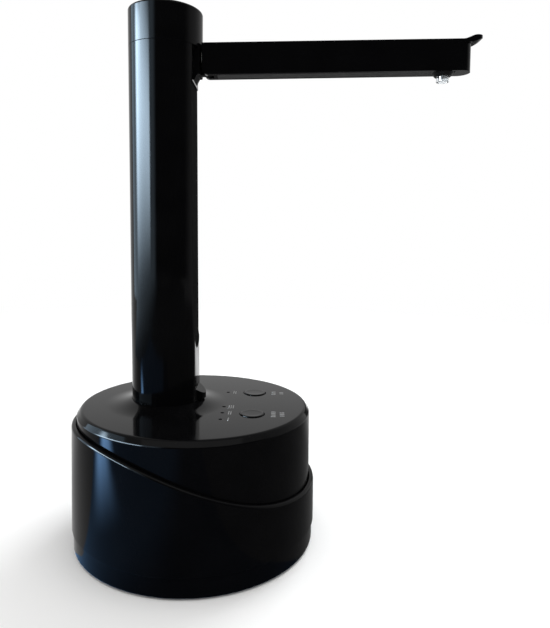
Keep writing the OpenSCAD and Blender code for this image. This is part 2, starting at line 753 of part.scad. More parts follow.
module arm_shell() color([0.03, 0.03, 0.035]) at_arm() {
    difference() {
        union() {
            translate([0, 0, -pivot_in]) linear_extrude(arm_h) arm_plan(0);
            intersection() {
                along_y(arm_w + 2) polygon([[end_x - 4, arm_top - 1.2], [arm_len - 3.6, arm_top],
                                            [arm_len - 1.6, arm_top + 0.33 * tab_rise],
                                            [arm_len + 0.2, arm_top + 0.8 * tab_rise],
                                            [arm_len + 1.4, arm_top + tab_rise],
                                            [arm_len + tab_run, arm_top + tab_rise],
                                            [arm_len + tab_run, arm_top + tab_rise - 0.9],
                                            [arm_len + 0.78 * tab_run, arm_top + 0.05],
                                            [arm_len + 0.35 * tab_run, arm_top - 0.6],
                                            [arm_len - 0.3, arm_top - 1.2]]);
                translate([0, 0, arm_top - 5]) linear_extrude(10) tab_plan();
            }
        }
        translate([-pivot_in - 1, -cave_w / 2, notch + 0.4])
            cube([cave_end + pivot_in + 1, cave_w, cave_top - notch - 0.4]);
        translate([knuckle_x, -cave_w / 2, -pivot_in - 1])
            cube([cave_end - knuckle_x, cave_w, cave_top + pivot_in + 1]);
        translate([-pivot_in - 1, -notch_w / 2, -pivot_in - 1])
            cube([notch + pivot_in + 1, notch_w, notch + pivot_in + 1]);
        along_y(arm_w + 2) difference() {
            translate([-pivot_in - 1, -pivot_in - 1]) square(pivot_in + 1);
            circle(r = pivot_in);
        }
        translate([0, -pin_end, 0]) rotate([-90, 0, 0]) cylinder(r = pin_r + hold, h = arm_w);
    }
}

module arm_floor() color([0.05, 0.05, 0.055]) at_arm() {
    translate([knuckle_x + hold, -cave_w / 2 + hold, -pivot_in])
        cube([collar_x0 - knuckle_x - 2 * hold, cave_w - 2 * hold, floor_thick]);
}

module nozzle_collar() color([0.05, 0.05, 0.055]) at_arm() {
    difference() {
        union() {
            translate([collar_x0, -cave_w / 2 + hold, -pivot_in - eps])
                cube([collar_x1 - collar_x0, cave_w - 2 * hold, floor_thick + eps]);
            translate([nozzle_x, 0, -pivot_in - collar_h])
                cylinder(r1 = collar_tip_r, r2 = collar_r, h = collar_h);
        }
        translate([nozzle_x, 0, -20]) cylinder(r = tube_r + hold, h = 40);
    }
}

module arm_path(r, more) {
    translate([-pivot_in + 2.2 - more, 0, tube_up]) rotate([0, 90, 0])
        cylinder(r = r, h = nozzle_x - nozzle_bend + pivot_in - 2.2 + more);
    translate([nozzle_x - nozzle_bend, 0, tube_up - nozzle_bend]) rotate([90, 0, 0])
        rotate_extrude(angle = 90) translate([nozzle_bend, 0]) circle(r = r);
    translate([nozzle_x, 0, -pivot_in - collar_h - tip_len - more])
        cylinder(r = r, h = pivot_in + collar_h + tip_len + more + tube_up - nozzle_bend);
}

module arm_tube() color([0.8, 0.84, 0.86]) at_arm() {
    difference() {
        arm_path(tube_r, 0);
        arm_path(stub_r + hold, 1);
    }
}

module hinge_pin() color([0.7, 0.7, 0.72]) at_arm() {
    translate([0, -pin_end + hold, 0]) rotate([-90, 0, 0])
        cylinder(r = pin_r, h = pin_end + arm_w / 2 - hold - 0.1);
}

module friction_washers() color([0.5, 0.5, 0.5]) at_arm() {
    for (s = [-1, 1]) translate([0, s * (notch_w / 2 - washer_t / 2), 0]) rotate([90, 0, 0])
        translate([0, 0, -washer_t / 2]) ring(lug_r, lug_r - pin_r - hold, washer_t);
}

module hinge_hose() color([0.75, 0.78, 0.8]) {
    x0 = col_x + col_bore + 0.6;
    x1 = pivot_x + 0.3 * cos(arm_rise) - tube_up * sin(arm_rise) - 0.1;
    translate([x0, 0, exit_z]) rotate([0, 90, 0]) ring(tube_r - 0.02, tube_wall - 0.04, x1 - x0);
}

module motor_rotor() color([0.5, 0.35, 0.2]) {
    translate([drive_x, pump_y, gear_z]) cylinder(r = shaft_r, h = can_top + cap_out - 0.9 - gear_z);
    translate([drive_x, pump_y, cover_top + 4]) cylinder(r = arm_r, h = can_h - 9);
    translate([drive_x, pump_y, cover_top + can_h - 5 - eps]) cylinder(r = 3, h = 2.6);
}

module spur(bore) {
    linear_extrude(gear_h) difference() {
        union() {
            circle(r = root_r);
            for (i = [0:gear_n - 1]) rotate(i * 360 / gear_n)
                polygon([[root_r - 0.6, -0.85], [gear_step / 2, -0.62], [tip_r, -0.3],
                         [tip_r, 0.3], [gear_step / 2, 0.62], [root_r - 0.6, 0.85]]);
        }
        circle(r = bore);
    }
}

module drive_gear() color([0.85, 0.83, 0.75]) {
    translate([drive_x, pump_y, gear_z]) spur(shaft_r + hold);
}

module driven_gear() color([0.85, 0.83, 0.75]) {
    translate([driven_x, pump_y, gear_z]) rotate([0, 0, 180 / gear_n]) spur(shaft_r + run_gap);
}

module button(y) {
    translate([key_x, y, 0]) {
        translate([0, 0, under_z - 0.1 - flange_t]) cylinder(r = flange_r, h = flange_t);
        translate([0, 0, under_z - 0.1 - eps])
            cylinder(r = button_r, h = deck_t + 0.1 + button_rise + eps);
        translate([0, 0, stem_z]) cylinder(r = plunger_r - 0.2, h = under_z - 0.1 - stem_z);
    }
}

module plunger(y) {
    translate([key_x, y, board_z + switch_h - plunger_in])
        cylinder(r = plunger_r, h = stem_z - board_z - switch_h + plunger_in);
}

module rear_button() color([0.04, 0.04, 0.045]) {
    button(key_y);
}

module rear_plunger() color([0.6, 0.6, 0.6]) {
    plunger(key_y);
}

module front_button() color([0.04, 0.04, 0.045]) {
    button(-key_y);
}

module front_plunger() color([0.6, 0.6, 0.6]) {
    plunger(-key_y);
}

base_plate();
foot_pad();
lower_sleeve();
upper_housing();
base_screws();
control_board();
board_screws();
tact_switches();
status_leds();
light_pipes();
charge_board();
charge_socket();
battery_cell();
cell_tabs();
battery_cradle();
hose_inlet();
suction_tube();
delivery_tube();
motor_case();
motor_end_cap();
motor_terminals();
motor_magnets();
motor_bearings();
motor_screws();
pump_body();
pump_cover();
pump_screws();
pump_feet();
shaft_seal();
gear_post();
column_tube();
column_cap();
column_screws();
rest_pad();
arm_shell();
arm_floor();
nozzle_collar();
arm_tube();
hinge_pin();
friction_washers();
hinge_hose();
motor_rotor();
drive_gear();
driven_gear();
rear_button();
rear_plunger();
front_button();
front_plunger();
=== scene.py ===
"""Looks of an electric water jug pump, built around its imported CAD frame.

The shell of the base, the column, the spout arm and the keys are modelled anew over
the CAD nodes that they stand for. The works inside keep their CAD meshes and get a
finish of their own. All lengths are metres in the frame of the CAD part.
"""

import json
import logging
import math
from dataclasses import dataclass
from enum import Enum
from typing import Sequence

import bmesh
import bpy
from mathutils import Matrix, Vector


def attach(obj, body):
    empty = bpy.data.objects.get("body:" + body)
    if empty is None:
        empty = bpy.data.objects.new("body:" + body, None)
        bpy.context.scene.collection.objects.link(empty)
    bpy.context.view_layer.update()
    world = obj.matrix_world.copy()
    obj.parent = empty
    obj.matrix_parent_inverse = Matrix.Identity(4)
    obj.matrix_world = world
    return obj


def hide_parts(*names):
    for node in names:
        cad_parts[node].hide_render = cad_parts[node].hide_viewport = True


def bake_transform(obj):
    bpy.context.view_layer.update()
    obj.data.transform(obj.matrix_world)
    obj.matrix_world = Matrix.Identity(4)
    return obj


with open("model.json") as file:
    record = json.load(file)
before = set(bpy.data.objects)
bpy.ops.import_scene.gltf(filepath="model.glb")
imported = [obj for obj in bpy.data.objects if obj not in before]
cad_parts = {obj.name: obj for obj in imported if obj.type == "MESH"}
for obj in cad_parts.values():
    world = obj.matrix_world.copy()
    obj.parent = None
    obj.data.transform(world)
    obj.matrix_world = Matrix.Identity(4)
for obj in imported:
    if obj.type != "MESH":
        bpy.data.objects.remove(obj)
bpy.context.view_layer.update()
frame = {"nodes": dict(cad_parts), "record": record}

MM = 0.001
MERGE = 0.001 * MM
ROUND_STEPS = 192
BEND_STEPS = 20
FINE_ANGLE = math.radians(32)
WHITE = (1.0, 1.0, 1.0)
LOG = logging.getLogger("jug_pump")

Point = tuple[float, float]
Spot = tuple[float, float, float]
Colour = tuple[float, float, float]
Fade = tuple[str, float, float]
Piece = bpy.types.Object
Node = bpy.types.Node
Socket = bpy.types.NodeSocket
Setting = float | int | str | bool | Piece | bpy.types.NodeTree
Feed = Socket | float | Sequence[float]


class Body(Enum):
    """The moving bodies of the CAD part."""

    BASE = "base"
    ARM = "arm"
    REAR_KEY = "rear_key"
    FRONT_KEY = "front_key"


class Grain(Enum):
    """The kinds of surface structure that a finish can have."""

    POLISHED = "polished"
    MOULDED = "moulded"
    RUBBER = "rubber"
    BRUSHED = "brushed"
    CIRCUIT = "circuit"
    CLEAR = "clear"


@dataclass(frozen=True)
class Finish:
    """One surface finish: its colours, gloss and structure.

    Attributes:
        name: Name of the Blender material.
        slot: Material slot of the record.
        colour: Main colour, linear.
        tint: Colour that the structure drifts to, linear.
        rough: Lowest and highest roughness.
        scale: Structure repeats per metre.
        bump: Height of the structure in metres.
        grain: Kind of structure.
        metallic: Metal share.
        specular: Specular level of the shader.
        clear: Transmission share.
    """

    name: str
    slot: str
    colour: Colour
    tint: Colour
    rough: Point
    scale: float
    bump: float
    grain: Grain
    metallic: float = 0.0
    specular: float = 0.5
    clear: float = 0.0


class Finishes:
    """The finishes of the pump, one per material slot and one for the print."""

    GLOSS = Finish("gloss_black", "gloss_black", (0.0014, 0.0014, 0.0016), (0.0024, 0.0024, 0.0027),
                   (0.06, 0.11), 900.0, 0.000004, Grain.POLISHED, specular=0.06)
    SATIN = Finish("satin_black", "satin_black", (0.004, 0.004, 0.004), (0.007, 0.007, 0.0075),
                   (0.32, 0.45), 2600.0, 0.00002, Grain.MOULDED, specular=0.045)
    PAD = Finish("pad_matte", "pad_matte", (0.004, 0.004, 0.004), (0.007, 0.007, 0.007),
                 (0.6, 0.75), 3400.0, 0.00003, Grain.RUBBER, specular=0.002)
    FOOT = Finish("foot_rubber", "foot_rubber", (0.014, 0.014, 0.014), (0.024, 0.023, 0.022),
                  (0.7, 0.88), 2200.0, 0.00004, Grain.RUBBER, specular=0.25)
    CLEAR = Finish("clear_tube", "clear_tube", (0.86, 0.89, 0.91), (0.80, 0.84, 0.87),
                   (0.06, 0.14), 700.0, 0.00001, Grain.CLEAR, clear=0.9)
    LAMP = Finish("lamp_white", "lamp_white", (0.34, 0.35, 0.36), (0.42, 0.43, 0.44),
                  (0.16, 0.26), 3000.0, 0.00001, Grain.MOULDED)
    LENS = Finish("lens_smoke", "lens_smoke", (0.004, 0.004, 0.0045), (0.007, 0.007, 0.0075),
                  (0.16, 0.26), 3000.0, 0.000004, Grain.MOULDED, specular=0.0)
    BOARD = Finish("board_green", "board_green", (0.015, 0.10, 0.04), (0.05, 0.22, 0.10),
                   (0.35, 0.5), 420.0, 0.00003, Grain.CIRCUIT)
    WRAP = Finish("cell_wrap", "cell_wrap", (0.04, 0.14, 0.36), (0.06, 0.18, 0.42),
                  (0.22, 0.34), 500.0, 0.00002, Grain.POLISHED)
    STEEL = Finish("screw_steel", "screw_steel", (0.55, 0.55, 0.57), (0.42, 0.42, 0.44),
                   (0.22, 0.4), 1500.0, 0.00001, Grain.BRUSHED, metallic=1.0)
    NICKEL = Finish("tab_nickel", "tab_nickel", (0.6, 0.59, 0.56), (0.48, 0.47, 0.44),
                    (0.24, 0.42), 1300.0, 0.00001, Grain.BRUSHED, metallic=1.0)
    BRASS = Finish("contact_brass", "contact_brass", (0.62, 0.45, 0.19), (0.5, 0.34, 0.13),
                   (0.25, 0.42), 1400.0, 0.00001, Grain.BRUSHED, metallic=1.0)
    MAGNET = Finish("magnet_grey", "magnet_grey", (0.10, 0.09, 0.085), (0.16, 0.14, 0.13),
                    (0.5, 0.7), 1800.0, 0.00004, Grain.MOULDED)
    PUMP = Finish("pump_grey", "pump_grey", (0.10, 0.10, 0.11), (0.15, 0.15, 0.16),
                  (0.42, 0.6), 2400.0, 0.00003, Grain.MOULDED)
    GEAR = Finish("gear_white", "gear_white", (0.72, 0.70, 0.62), (0.62, 0.60, 0.53),
                  (0.34, 0.5), 2000.0, 0.00002, Grain.MOULDED)
    PRINT = Finish("deck_print", "lamp_white", (0.11, 0.11, 0.11), (0.14, 0.14, 0.14),
                   (0.4, 0.55), 5000.0, 0.000004, Grain.MOULDED)


class Wiring:
    """Adds nodes to one node tree and links them."""

    def __init__(self, tree: bpy.types.NodeTree) -> None:
        """Keeps the tree.

        Args:
            tree: The node tree to work on.
        """
        self.tree = tree

    def feed(self, node: Node, values: dict[str | int, Feed]) -> Node:
        """Sets the inputs of a node, or links those that are given a socket.

        Args:
            node: The node to feed.
            values: Value or socket for each input.

        Returns:
            The same node.
        """
        for label, value in values.items():
            if isinstance(value, Socket):
                self.tree.links.new(value, node.inputs[label])
            else:
                node.inputs[label].default_value = value
        return node

    def add(self, kind: str, values: dict[str | int, Feed], **settings: Setting) -> Node:
        """Adds a node, sets it and feeds it.

        Args:
            kind: Type of the node, less its prefix.
            values: Value or socket for each input.
            **settings: Settings of the node itself.

        Returns:
            The new node.
        """
        node = self.tree.nodes.new(f"ShaderNode{kind}")
        for key, value in settings.items():
            setattr(node, key, value)
        return self.feed(node, values)

    def times(self, first: Feed, second: Feed) -> Socket:
        """Multiplies two values."""
        return self.add("Math", {0: first, 1: second}, operation="MULTIPLY").outputs[0]

    def mix(self, share: Socket, first: Feed, second: Feed) -> Socket:
        """Mixes two colours."""
        return self.add("Mix", {"Factor": share, "A": first, "B": second}, data_type="RGBA").outputs["Result"]

    def ramp(self, value: Socket, start: Point, end: Point, curve: str = "LINEAR") -> Socket:
        """Follows a value from one level to another.

        Args:
            value: The value to follow.
            start: Value where the ramp starts, and the level there.
            end: Value where the ramp ends, and the level there.
            curve: Kind of the ramp.

        Returns:
            The level.
        """
        feeds: dict[str | int, Feed] = {"Value": value}
        for label, (at, level) in (("Min", start), ("Max", end)):
            feeds |= {f"From {label}": at, f"To {label}": level}
        return self.add("MapRange", feeds, interpolation_type=curve).outputs["Result"]


Group = tuple[Wiring, Node, Node]


class Painter:
    """Makes the node groups once and a material for each finish when it is first used."""

    coarse_share: float = 0.12
    drift_scale: float = 260.0
    trace_gap: float = 0.06
    speck_scale: float = 850.0
    speck_reach: float = 0.1
    cloud_scale: float = 60.0
    dust_amount: float = 0.5
    dust_colour: Colour = (0.20, 0.19, 0.18)
    dusty: tuple[Grain, ...] = (Grain.POLISHED, Grain.MOULDED, Grain.RUBBER)
    mask_range: Point = (0.3, 0.7)
    bump_strength: float = 0.5
    ior: float = 1.45

    def __init__(self) -> None:
        """Makes the shared node groups; materials follow on demand."""
        self.made: dict[str, bpy.types.Material] = {}
        self.groups = {
            Grain.POLISHED: self.noise_group("polished_skin", (1.0, 1.0, 1.0), 2.0, 0.35),
            Grain.MOULDED: self.noise_group("moulded_grain", (1.0, 1.0, 1.0), 4.0, 0.6),
            Grain.RUBBER: self.pebble_group("rubber_pebble"),
            Grain.BRUSHED: self.noise_group("brushed_lines", (1.0, 1.0, 0.06), 3.0, 0.5),
            Grain.CIRCUIT: self.trace_group("board_traces"),
            Grain.CLEAR: self.noise_group("clear_ripple", (1.0, 1.0, 0.4), 1.0, 0.3),
        }
        self.dust = self.dust_group("settled_dust")

    @staticmethod
    def new_group(name: str, inputs: Sequence[str], outputs: Sequence[str],
                  vectors: Sequence[str] = ("Vector",)) -> Group:
        """Starts a shader node group.

        Args:
            name: Name of the group.
            inputs: Names of the float inputs after the vector inputs.
            outputs: Names of the float outputs.
            vectors: Names of the vector inputs.

        Returns:
            The group's wiring, its input node and its output node.
        """
        tree = bpy.data.node_groups.new(name, "ShaderNodeTree")
        for labels, way, kind in ((vectors, "INPUT", "Vector"), (inputs, "INPUT", "Float"),
                                  (outputs, "OUTPUT", "Float")):
            for label in labels:
                tree.interface.new_socket(label, in_out=way, socket_type=f"NodeSocket{kind}")
        return Wiring(tree), tree.nodes.new("NodeGroupInput"), tree.nodes.new("NodeGroupOutput")

    def noise_group(self, name: str, stretch: Spot, detail: float, rough: float) -> bpy.types.NodeTree:
        """Makes a group with a soft mask and a fine height from two noises.

        Args:
            name: Name of the group.
            stretch: Scale of the pattern along X, Y and Z.
            detail: Octaves of the noise.
            rough: Roughness of the noise.

        Returns:
            The node tree.
        """
        wires, start, end = self.new_group(name, ("Scale",), ("Mask", "Height"))
        place = wires.add("Mapping", {"Vector": start.outputs["Vector"], "Scale": stretch}).outputs["Vector"]
        fine = start.outputs["Scale"]
        for scale, socket in ((wires.times(fine, self.coarse_share), "Mask"), (fine, "Height")):
            feeds = {"Vector": place, "Scale": scale, "Detail": detail, "Roughness": rough}
            wires.feed(end, {socket: wires.add("TexNoise", feeds).outputs["Fac"]})
        return wires.tree

    def pebble_group(self, name: str) -> bpy.types.NodeTree:
        """Makes a group of small rounded pebbles, as on soft-touch rubber.

        Args:
            name: Name of the group.

        Returns:
            The node tree.
        """
        wires, start, end = self.new_group(name, ("Scale",), ("Mask", "Height"))
        place, scale = start.outputs["Vector"], start.outputs["Scale"]
        cells = wires.add("TexVoronoi", {"Vector": place, "Scale": scale}, feature="SMOOTH_F1")
        drift = wires.add("TexNoise", {"Vector": place, "Scale": self.drift_scale})
        wires.feed(end, {"Height": cells.outputs["Distance"], "Mask": drift.outputs["Fac"]})
        return wires.tree

    def trace_group(self, name: str) -> bpy.types.NodeTree:
        """Makes a group of straight copper runs under the lacquer of a circuit board.

        Args:
            name: Name of the group.

        Returns:
            The node tree.
        """
        wires, start, end = self.new_group(name, ("Scale",), ("Mask", "Height"))
        bricks = wires.add("TexBrick", {
            "Vector": start.outputs["Vector"], "Scale": start.outputs["Scale"], "Mortar Size": self.trace_gap,
            "Color1": (0.0, 0.0, 0.0, 1.0), "Color2": (0.25, 0.25, 0.25, 1.0), "Mortar": (*WHITE, 1.0)})
        wires.feed(end, {"Mask": bricks.outputs["Color"], "Height": bricks.outputs["Fac"]})
        return wires.tree

    def dust_group(self, name: str) -> bpy.types.NodeTree:
        """Makes a group of fine dust that lies on faces that look up.

        Args:
            name: Name of the group.

        Returns:
            The node tree.
        """
        wires, start, end = self.new_group(name, ("Amount",), ("Mask",), ("Vector", "Normal"))
        place = start.outputs["Vector"]
        specks = wires.add("TexVoronoi", {"Vector": place, "Scale": self.speck_scale})
        cloud = wires.add("TexNoise", {"Vector": place, "Scale": self.cloud_scale})
        up = wires.add("SeparateXYZ", {"Vector": start.outputs["Normal"]}).outputs["Z"]
        flat = wires.add("Math", {0: up, 1: 0.0}, operation="MAXIMUM").outputs[0]
        mask = wires.ramp(specks.outputs["Distance"], (self.speck_reach, 0.0), (0.0, 1.0))
        for share in (cloud.outputs["Fac"], flat, start.outputs["Amount"]):
            mask = wires.times(mask, share)
        wires.feed(end, {"Mask": mask})
        return wires.tree

    def material(self, finish: Finish) -> bpy.types.Material:
        """Gives the material of a finish.

        Args:
            finish: The finish to make.

        Returns:
            The material, made on first use.
        """
        if finish.name in self.made:
            return self.made[finish.name]
        paint = bpy.data.materials.new(finish.name)
        paint.use_nodes = True
        wires = Wiring(paint.node_tree)
        place = wires.add("TexCoord", {}).outputs
        feeds = {"Vector": place["Object"], "Scale": finish.scale}
        skin = wires.add("Group", feeds, node_tree=self.groups[finish.grain]).outputs
        colour = wires.mix(skin["Mask"], (*finish.colour, 1.0), (*finish.tint, 1.0))
        if finish.grain in self.dusty:
            feeds = {"Vector": place["Object"], "Normal": place["Normal"], "Amount": self.dust_amount}
            specks = wires.add("Group", feeds, node_tree=self.dust)
            colour = wires.mix(specks.outputs["Mask"], colour, (*self.dust_colour, 1.0))
        (start, end), (low, high) = self.mask_range, finish.rough
        bump = wires.add("Bump", {"Strength": self.bump_strength, "Distance": finish.bump,
                                  "Height": skin["Height"]})
        wires.feed(paint.node_tree.nodes["Principled BSDF"], {
            "Base Color": colour, "Roughness": wires.ramp(skin["Mask"], (start, low), (end, high)),
            "Normal": bump.outputs["Normal"], "Metallic": finish.metallic, "IOR": self.ior,
            "Specular IOR Level": finish.specular, "Transmission Weight": finish.clear})
        self.made[finish.name] = paint
        return paint


class Bench:
    """The modelling steps that the pieces share, made with Blender's operators."""

    @staticmethod
    def clear() -> None:
        """Leaves edit mode and deselects everything."""
        if bpy.context.object is not None and bpy.context.object.mode != "OBJECT":
            bpy.ops.object.mode_set(mode="OBJECT")
        bpy.ops.object.select_all(action="DESELECT")

    @staticmethod
    def pick(piece: Piece) -> None:
        """Makes a piece the only selected and active object.

        Args:
            piece: The object to pick.
        """
        Bench.clear()
        piece.select_set(True)
        bpy.context.view_layer.objects.active = piece

    @staticmethod
    def chain(name: str, points: Sequence[Vector]) -> Piece:
        """Draws a chain of edges from point to point and stays in edit mode.

        Args:
            name: Name of the new object.
            points: The corners of the chain.

        Returns:
            The object in edit mode with only the last point selected.
        """
        Bench.clear()
        bpy.ops.mesh.primitive_plane_add(size=MM, enter_editmode=True, location=points[0])
        piece = bpy.context.object
        piece.name = piece.data.name = name
        bpy.ops.mesh.select_all(action="SELECT")
        bpy.ops.mesh.merge(type="CENTER")
        for here, there in zip(points, points[1:]):
            bpy.ops.mesh.extrude_region_move(TRANSFORM_OT_translate={"value": there - here})
        return piece

    @staticmethod
    def settle(piece: Piece) -> Piece:
        """Merges doubles, turns the faces outwards and puts the place into the mesh.

        Args:
            piece: The object, in edit mode or not.

        Returns:
            The same object, in object mode at the origin.
        """
        Bench.pick(piece)
        bpy.ops.object.mode_set(mode="EDIT")
        bpy.ops.mesh.select_all(action="SELECT")
        bpy.ops.mesh.remove_doubles(threshold=MERGE)
        bpy.ops.mesh.normals_make_consistent(inside=False)
        bpy.ops.object.mode_set(mode="OBJECT")
        bpy.ops.object.transform_apply(location=True, rotation=True, scale=True)
        return piece

    @staticmethod
    def lathe(name: str, profile: Sequence[Point], centre: Point = (0.0, 0.0),
              steps: int = ROUND_STEPS) -> Piece:
        """Spins a profile of radius and height once round an upright axis.

        Args:
            name: Name of the new object.
            profile: Radius and height of each corner.
            centre: Place of the axis on X and Y.
            steps: Faces in a full turn.

        Returns:
            The finished solid of revolution.
        """
        axis = Vector((centre[0], centre[1], 0.0))
        piece = Bench.chain(name, [axis + Vector((r, 0.0, z)) for r, z in profile])
        bpy.ops.mesh.select_all(action="SELECT")
        bpy.ops.mesh.spin(steps=steps, angle=2 * math.pi, center=axis, axis=(0.0, 0.0, 1.0))
        return Bench.settle(piece)

    @staticmethod
    def loft(name: str, rings: Sequence[Spot], steps: int = ROUND_STEPS) -> Piece:
        """Extrudes a circle from ring to ring and joins the last ring to the first.

        Args:
            name: Name of the new object.
            rings: Centre on X, radius and height of each ring.
            steps: Points on each ring.

        Returns:
            The closed skin.
        """
        Bench.clear()
        x, radius, z = rings[0]
        bpy.ops.mesh.primitive_circle_add(vertices=steps, radius=radius, enter_editmode=True,
                                          location=(x, 0.0, z))
        piece = bpy.context.object
        piece.name = piece.data.name = name
        for x1, radius1, z1 in [*rings[1:], rings[0]]:
            bpy.ops.mesh.extrude_region_move(TRANSFORM_OT_translate={"value": (x1 - x, 0.0, z1 - z)})
            grow = radius1 / radius
            bpy.ops.transform.resize(value=(grow, grow, 1.0), center_override=(x1, 0.0, z1))
            x, radius, z = x1, radius1, z1
        return Bench.settle(piece)

    @staticmethod
    def slab(name: str, outline: Sequence[Vector], depth: Vector) -> Piece:
        """Fills a closed outline and extrudes it.

        Args:
            name: Name of the new object.
            outline: Corners of the outline in their order.
            depth: Way and length of the extrusion.

        Returns:
            The closed prism.
        """
        piece = Bench.chain(name, outline)
        bpy.ops.mesh.select_all(action="SELECT")
        bpy.ops.mesh.edge_face_add()
        bpy.ops.mesh.extrude_region_move(TRANSFORM_OT_translate={"value": depth})
        return Bench.settle(piece)

    @staticmethod
    def upright(name: str, outline: Sequence[Point], low: float, high: float) -> Piece:
        """Extrudes an outline on X and Y from one height to another."""
        return Bench.slab(name, [Vector((x, y, low)) for x, y in outline], Vector((0.0, 0.0, high - low)))

    @staticmethod
    def across(name: str, outline: Sequence[Point], low: float, high: float) -> Piece:
        """Extrudes an outline on X and Z from one place on Y to another."""
        return Bench.slab(name, [Vector((x, low, z)) for x, z in outline], Vector((0.0, high - low, 0.0)))

    @staticmethod
    def box(name: str, low: Vector, high: Vector) -> Piece:
        """Makes a block between two corners, for cutting.

        Args:
            name: Name of the new object.
            low: Lowest corner.
            high: Highest corner.

        Returns:
            The block.
        """
        plan = [(low.x, low.y), (high.x, low.y), (high.x, high.y), (low.x, high.y)]
        return Bench.upright(name, plan, low.z, high.z)

    @staticmethod
    def pipe(name: str, start: Vector, runs: Sequence[Vector | tuple[Vector, Vector, float]],
             radius: float, steps: int = 48) -> Piece:
        """Sweeps a circle along straight runs and bends.

        Args:
            name: Name of the new object.
            start: Middle of the first circle, which faces along X.
            runs: A vector for a straight run, or centre, axis and right-handed angle for a bend.
            radius: Radius of the circle.
            steps: Points on the circle.

        Returns:
            The open skin of the pipe, in object mode.
        """
        Bench.clear()
        bpy.ops.mesh.primitive_circle_add(vertices=steps, radius=radius, enter_editmode=True,
                                          location=start, rotation=(0.0, math.pi / 2, 0.0))
        piece = bpy.context.object
        piece.name = piece.data.name = name
        for run in runs:
            if isinstance(run, Vector):
                bpy.ops.mesh.extrude_region_move(TRANSFORM_OT_translate={"value": run})
            else:
                centre, axis, angle = run
                bpy.ops.mesh.spin(steps=BEND_STEPS, angle=-angle, center=centre, axis=axis)
        return Bench.settle(piece)

    @staticmethod
    def modify(piece: Piece, kind: str, **settings: Setting) -> Piece:
        """Adds a modifier, sets it and applies it.

        Args:
            piece: The object to change.
            kind: Type of the modifier.
            **settings: Values of the modifier.

        Returns:
            The same object.
        """
        Bench.pick(piece)
        step = piece.modifiers.new(kind.lower(), kind)
        for key, value in settings.items():
            setattr(step, key, value)
        bpy.ops.object.modifier_apply(modifier=step.name)
        return piece

    @staticmethod
    def combine(piece: Piece, tool: Piece, how: str = "DIFFERENCE") -> Piece:
        """Cuts a tool out of a piece, or joins or keeps what both share, and removes the tool.

        Args:
            piece: The object to change.
            tool: The other solid.
            how: Boolean operation.

        Returns:
            The changed piece.
        """
        Bench.modify(piece, "BOOLEAN", operation=how, object=tool, solver="EXACT")
        bpy.data.objects.remove(tool)
        return piece

    @staticmethod
    def soften(piece: Piece, width: float, segments: int = 3, angle: float = FINE_ANGLE) -> Piece:
        """Rounds every edge that is sharper than an angle.

        Args:
            piece: The object to change.
            width: Width of the rounding.
            segments: Faces across the rounding.
            angle: Edges sharper than this are rounded.

        Returns:
            The same object.
        """
        return Bench.modify(piece, "BEVEL", width=width, segments=segments, limit_method="ANGLE",
                            angle_limit=angle, use_clamp_overlap=True, miter_outer="MITER_ARC")

    @staticmethod
    def join(pieces: Sequence[Piece]) -> Piece:
        """Joins several objects into the first.

        Args:
            pieces: The objects.

        Returns:
            The first object with all meshes in it.
        """
        Bench.pick(pieces[0])
        for piece in pieces:
            piece.select_set(True)
        bpy.ops.object.join()
        return pieces[0]

    @staticmethod
    def twin(piece: Piece, name: str, shift: Vector) -> Piece:
        """Copies a piece, with a mesh of its own, and moves the copy.

        Args:
            piece: The piece to copy.
            name: Name of the copy.
            shift: Way from the piece to its copy.

        Returns:
            The copy, with its place in the mesh.
        """
        Bench.pick(piece)
        bpy.ops.object.duplicate()
        copy = bpy.context.object
        copy.name = copy.data.name = name
        bpy.ops.transform.translate(value=shift)
        bpy.ops.object.transform_apply(location=True, rotation=True, scale=True)
        return copy

    @staticmethod
    def turn(piece: Piece, place: Matrix) -> Piece:
        """Moves a piece's mesh by a matrix and leaves the object at the origin.

        Args:
            piece: The object to place.
            place: Turn and shift.

        Returns:
            The same object.
        """
        Bench.pick(piece)
        piece.matrix_world = place
        bpy.ops.object.transform_apply(location=True, rotation=True, scale=True)
        return piece


def rounded(corners: Sequence[Spot], steps: int = 6) -> list[Point]:
    """Rounds the corners of an open outline with arcs.

    Args:
        corners: Two coordinates and the rounding radius of each corner.
        steps: Points on each arc less one.

    Returns:
        The outline's points.
    """
    marks = [(Vector((a, b)), r) for a, b, r in corners]
    points: list[Point] = []
    for i, (here, r) in enumerate(marks):
        if r <= 0.0 or i in (0, len(marks) - 1):
            points.append((here.x, here.y))
            continue
        back = (marks[i - 1][0] - here).normalized()
        ahead = (marks[i + 1][0] - here).normalized()
        half = back.angle(ahead) / 2
        reach = r / math.tan(half)
        middle = here + (back + ahead).normalized() * (r / math.sin(half))
        first, last = here + back * reach - middle, here + ahead * reach - middle
        sweep = first.angle_signed(last)
        for k in range(steps + 1):
            t = -sweep * k / steps
            spin = Matrix(((math.cos(t), -math.sin(t)), (math.sin(t), math.cos(t))))
            spot = middle + spin @ first
            points.append((spot.x, spot.y))
    return points


def arc(centre: Point, radius: float, start: float, end: float, steps: int) -> list[Point]:
    """Gives the points of an arc.

    Args:
        centre: Middle of the arc.
        radius: Radius.
        start: First angle in degrees.
        end: Last angle in degrees.
        steps: Points less one.

    Returns:
        The points from start to end.
    """
    angles = [math.radians(start + (end - start) * k / steps) for k in range(steps + 1)]
    return [(centre[0] + radius * math.cos(a), centre[1] + radius * math.sin(a)) for a in angles]


def circle(centre: Point, radius: float, steps: int) -> list[Point]:
    """Gives the points of a full circle."""
    return arc(centre, radius, 0.0, 360.0, steps)[:-1]


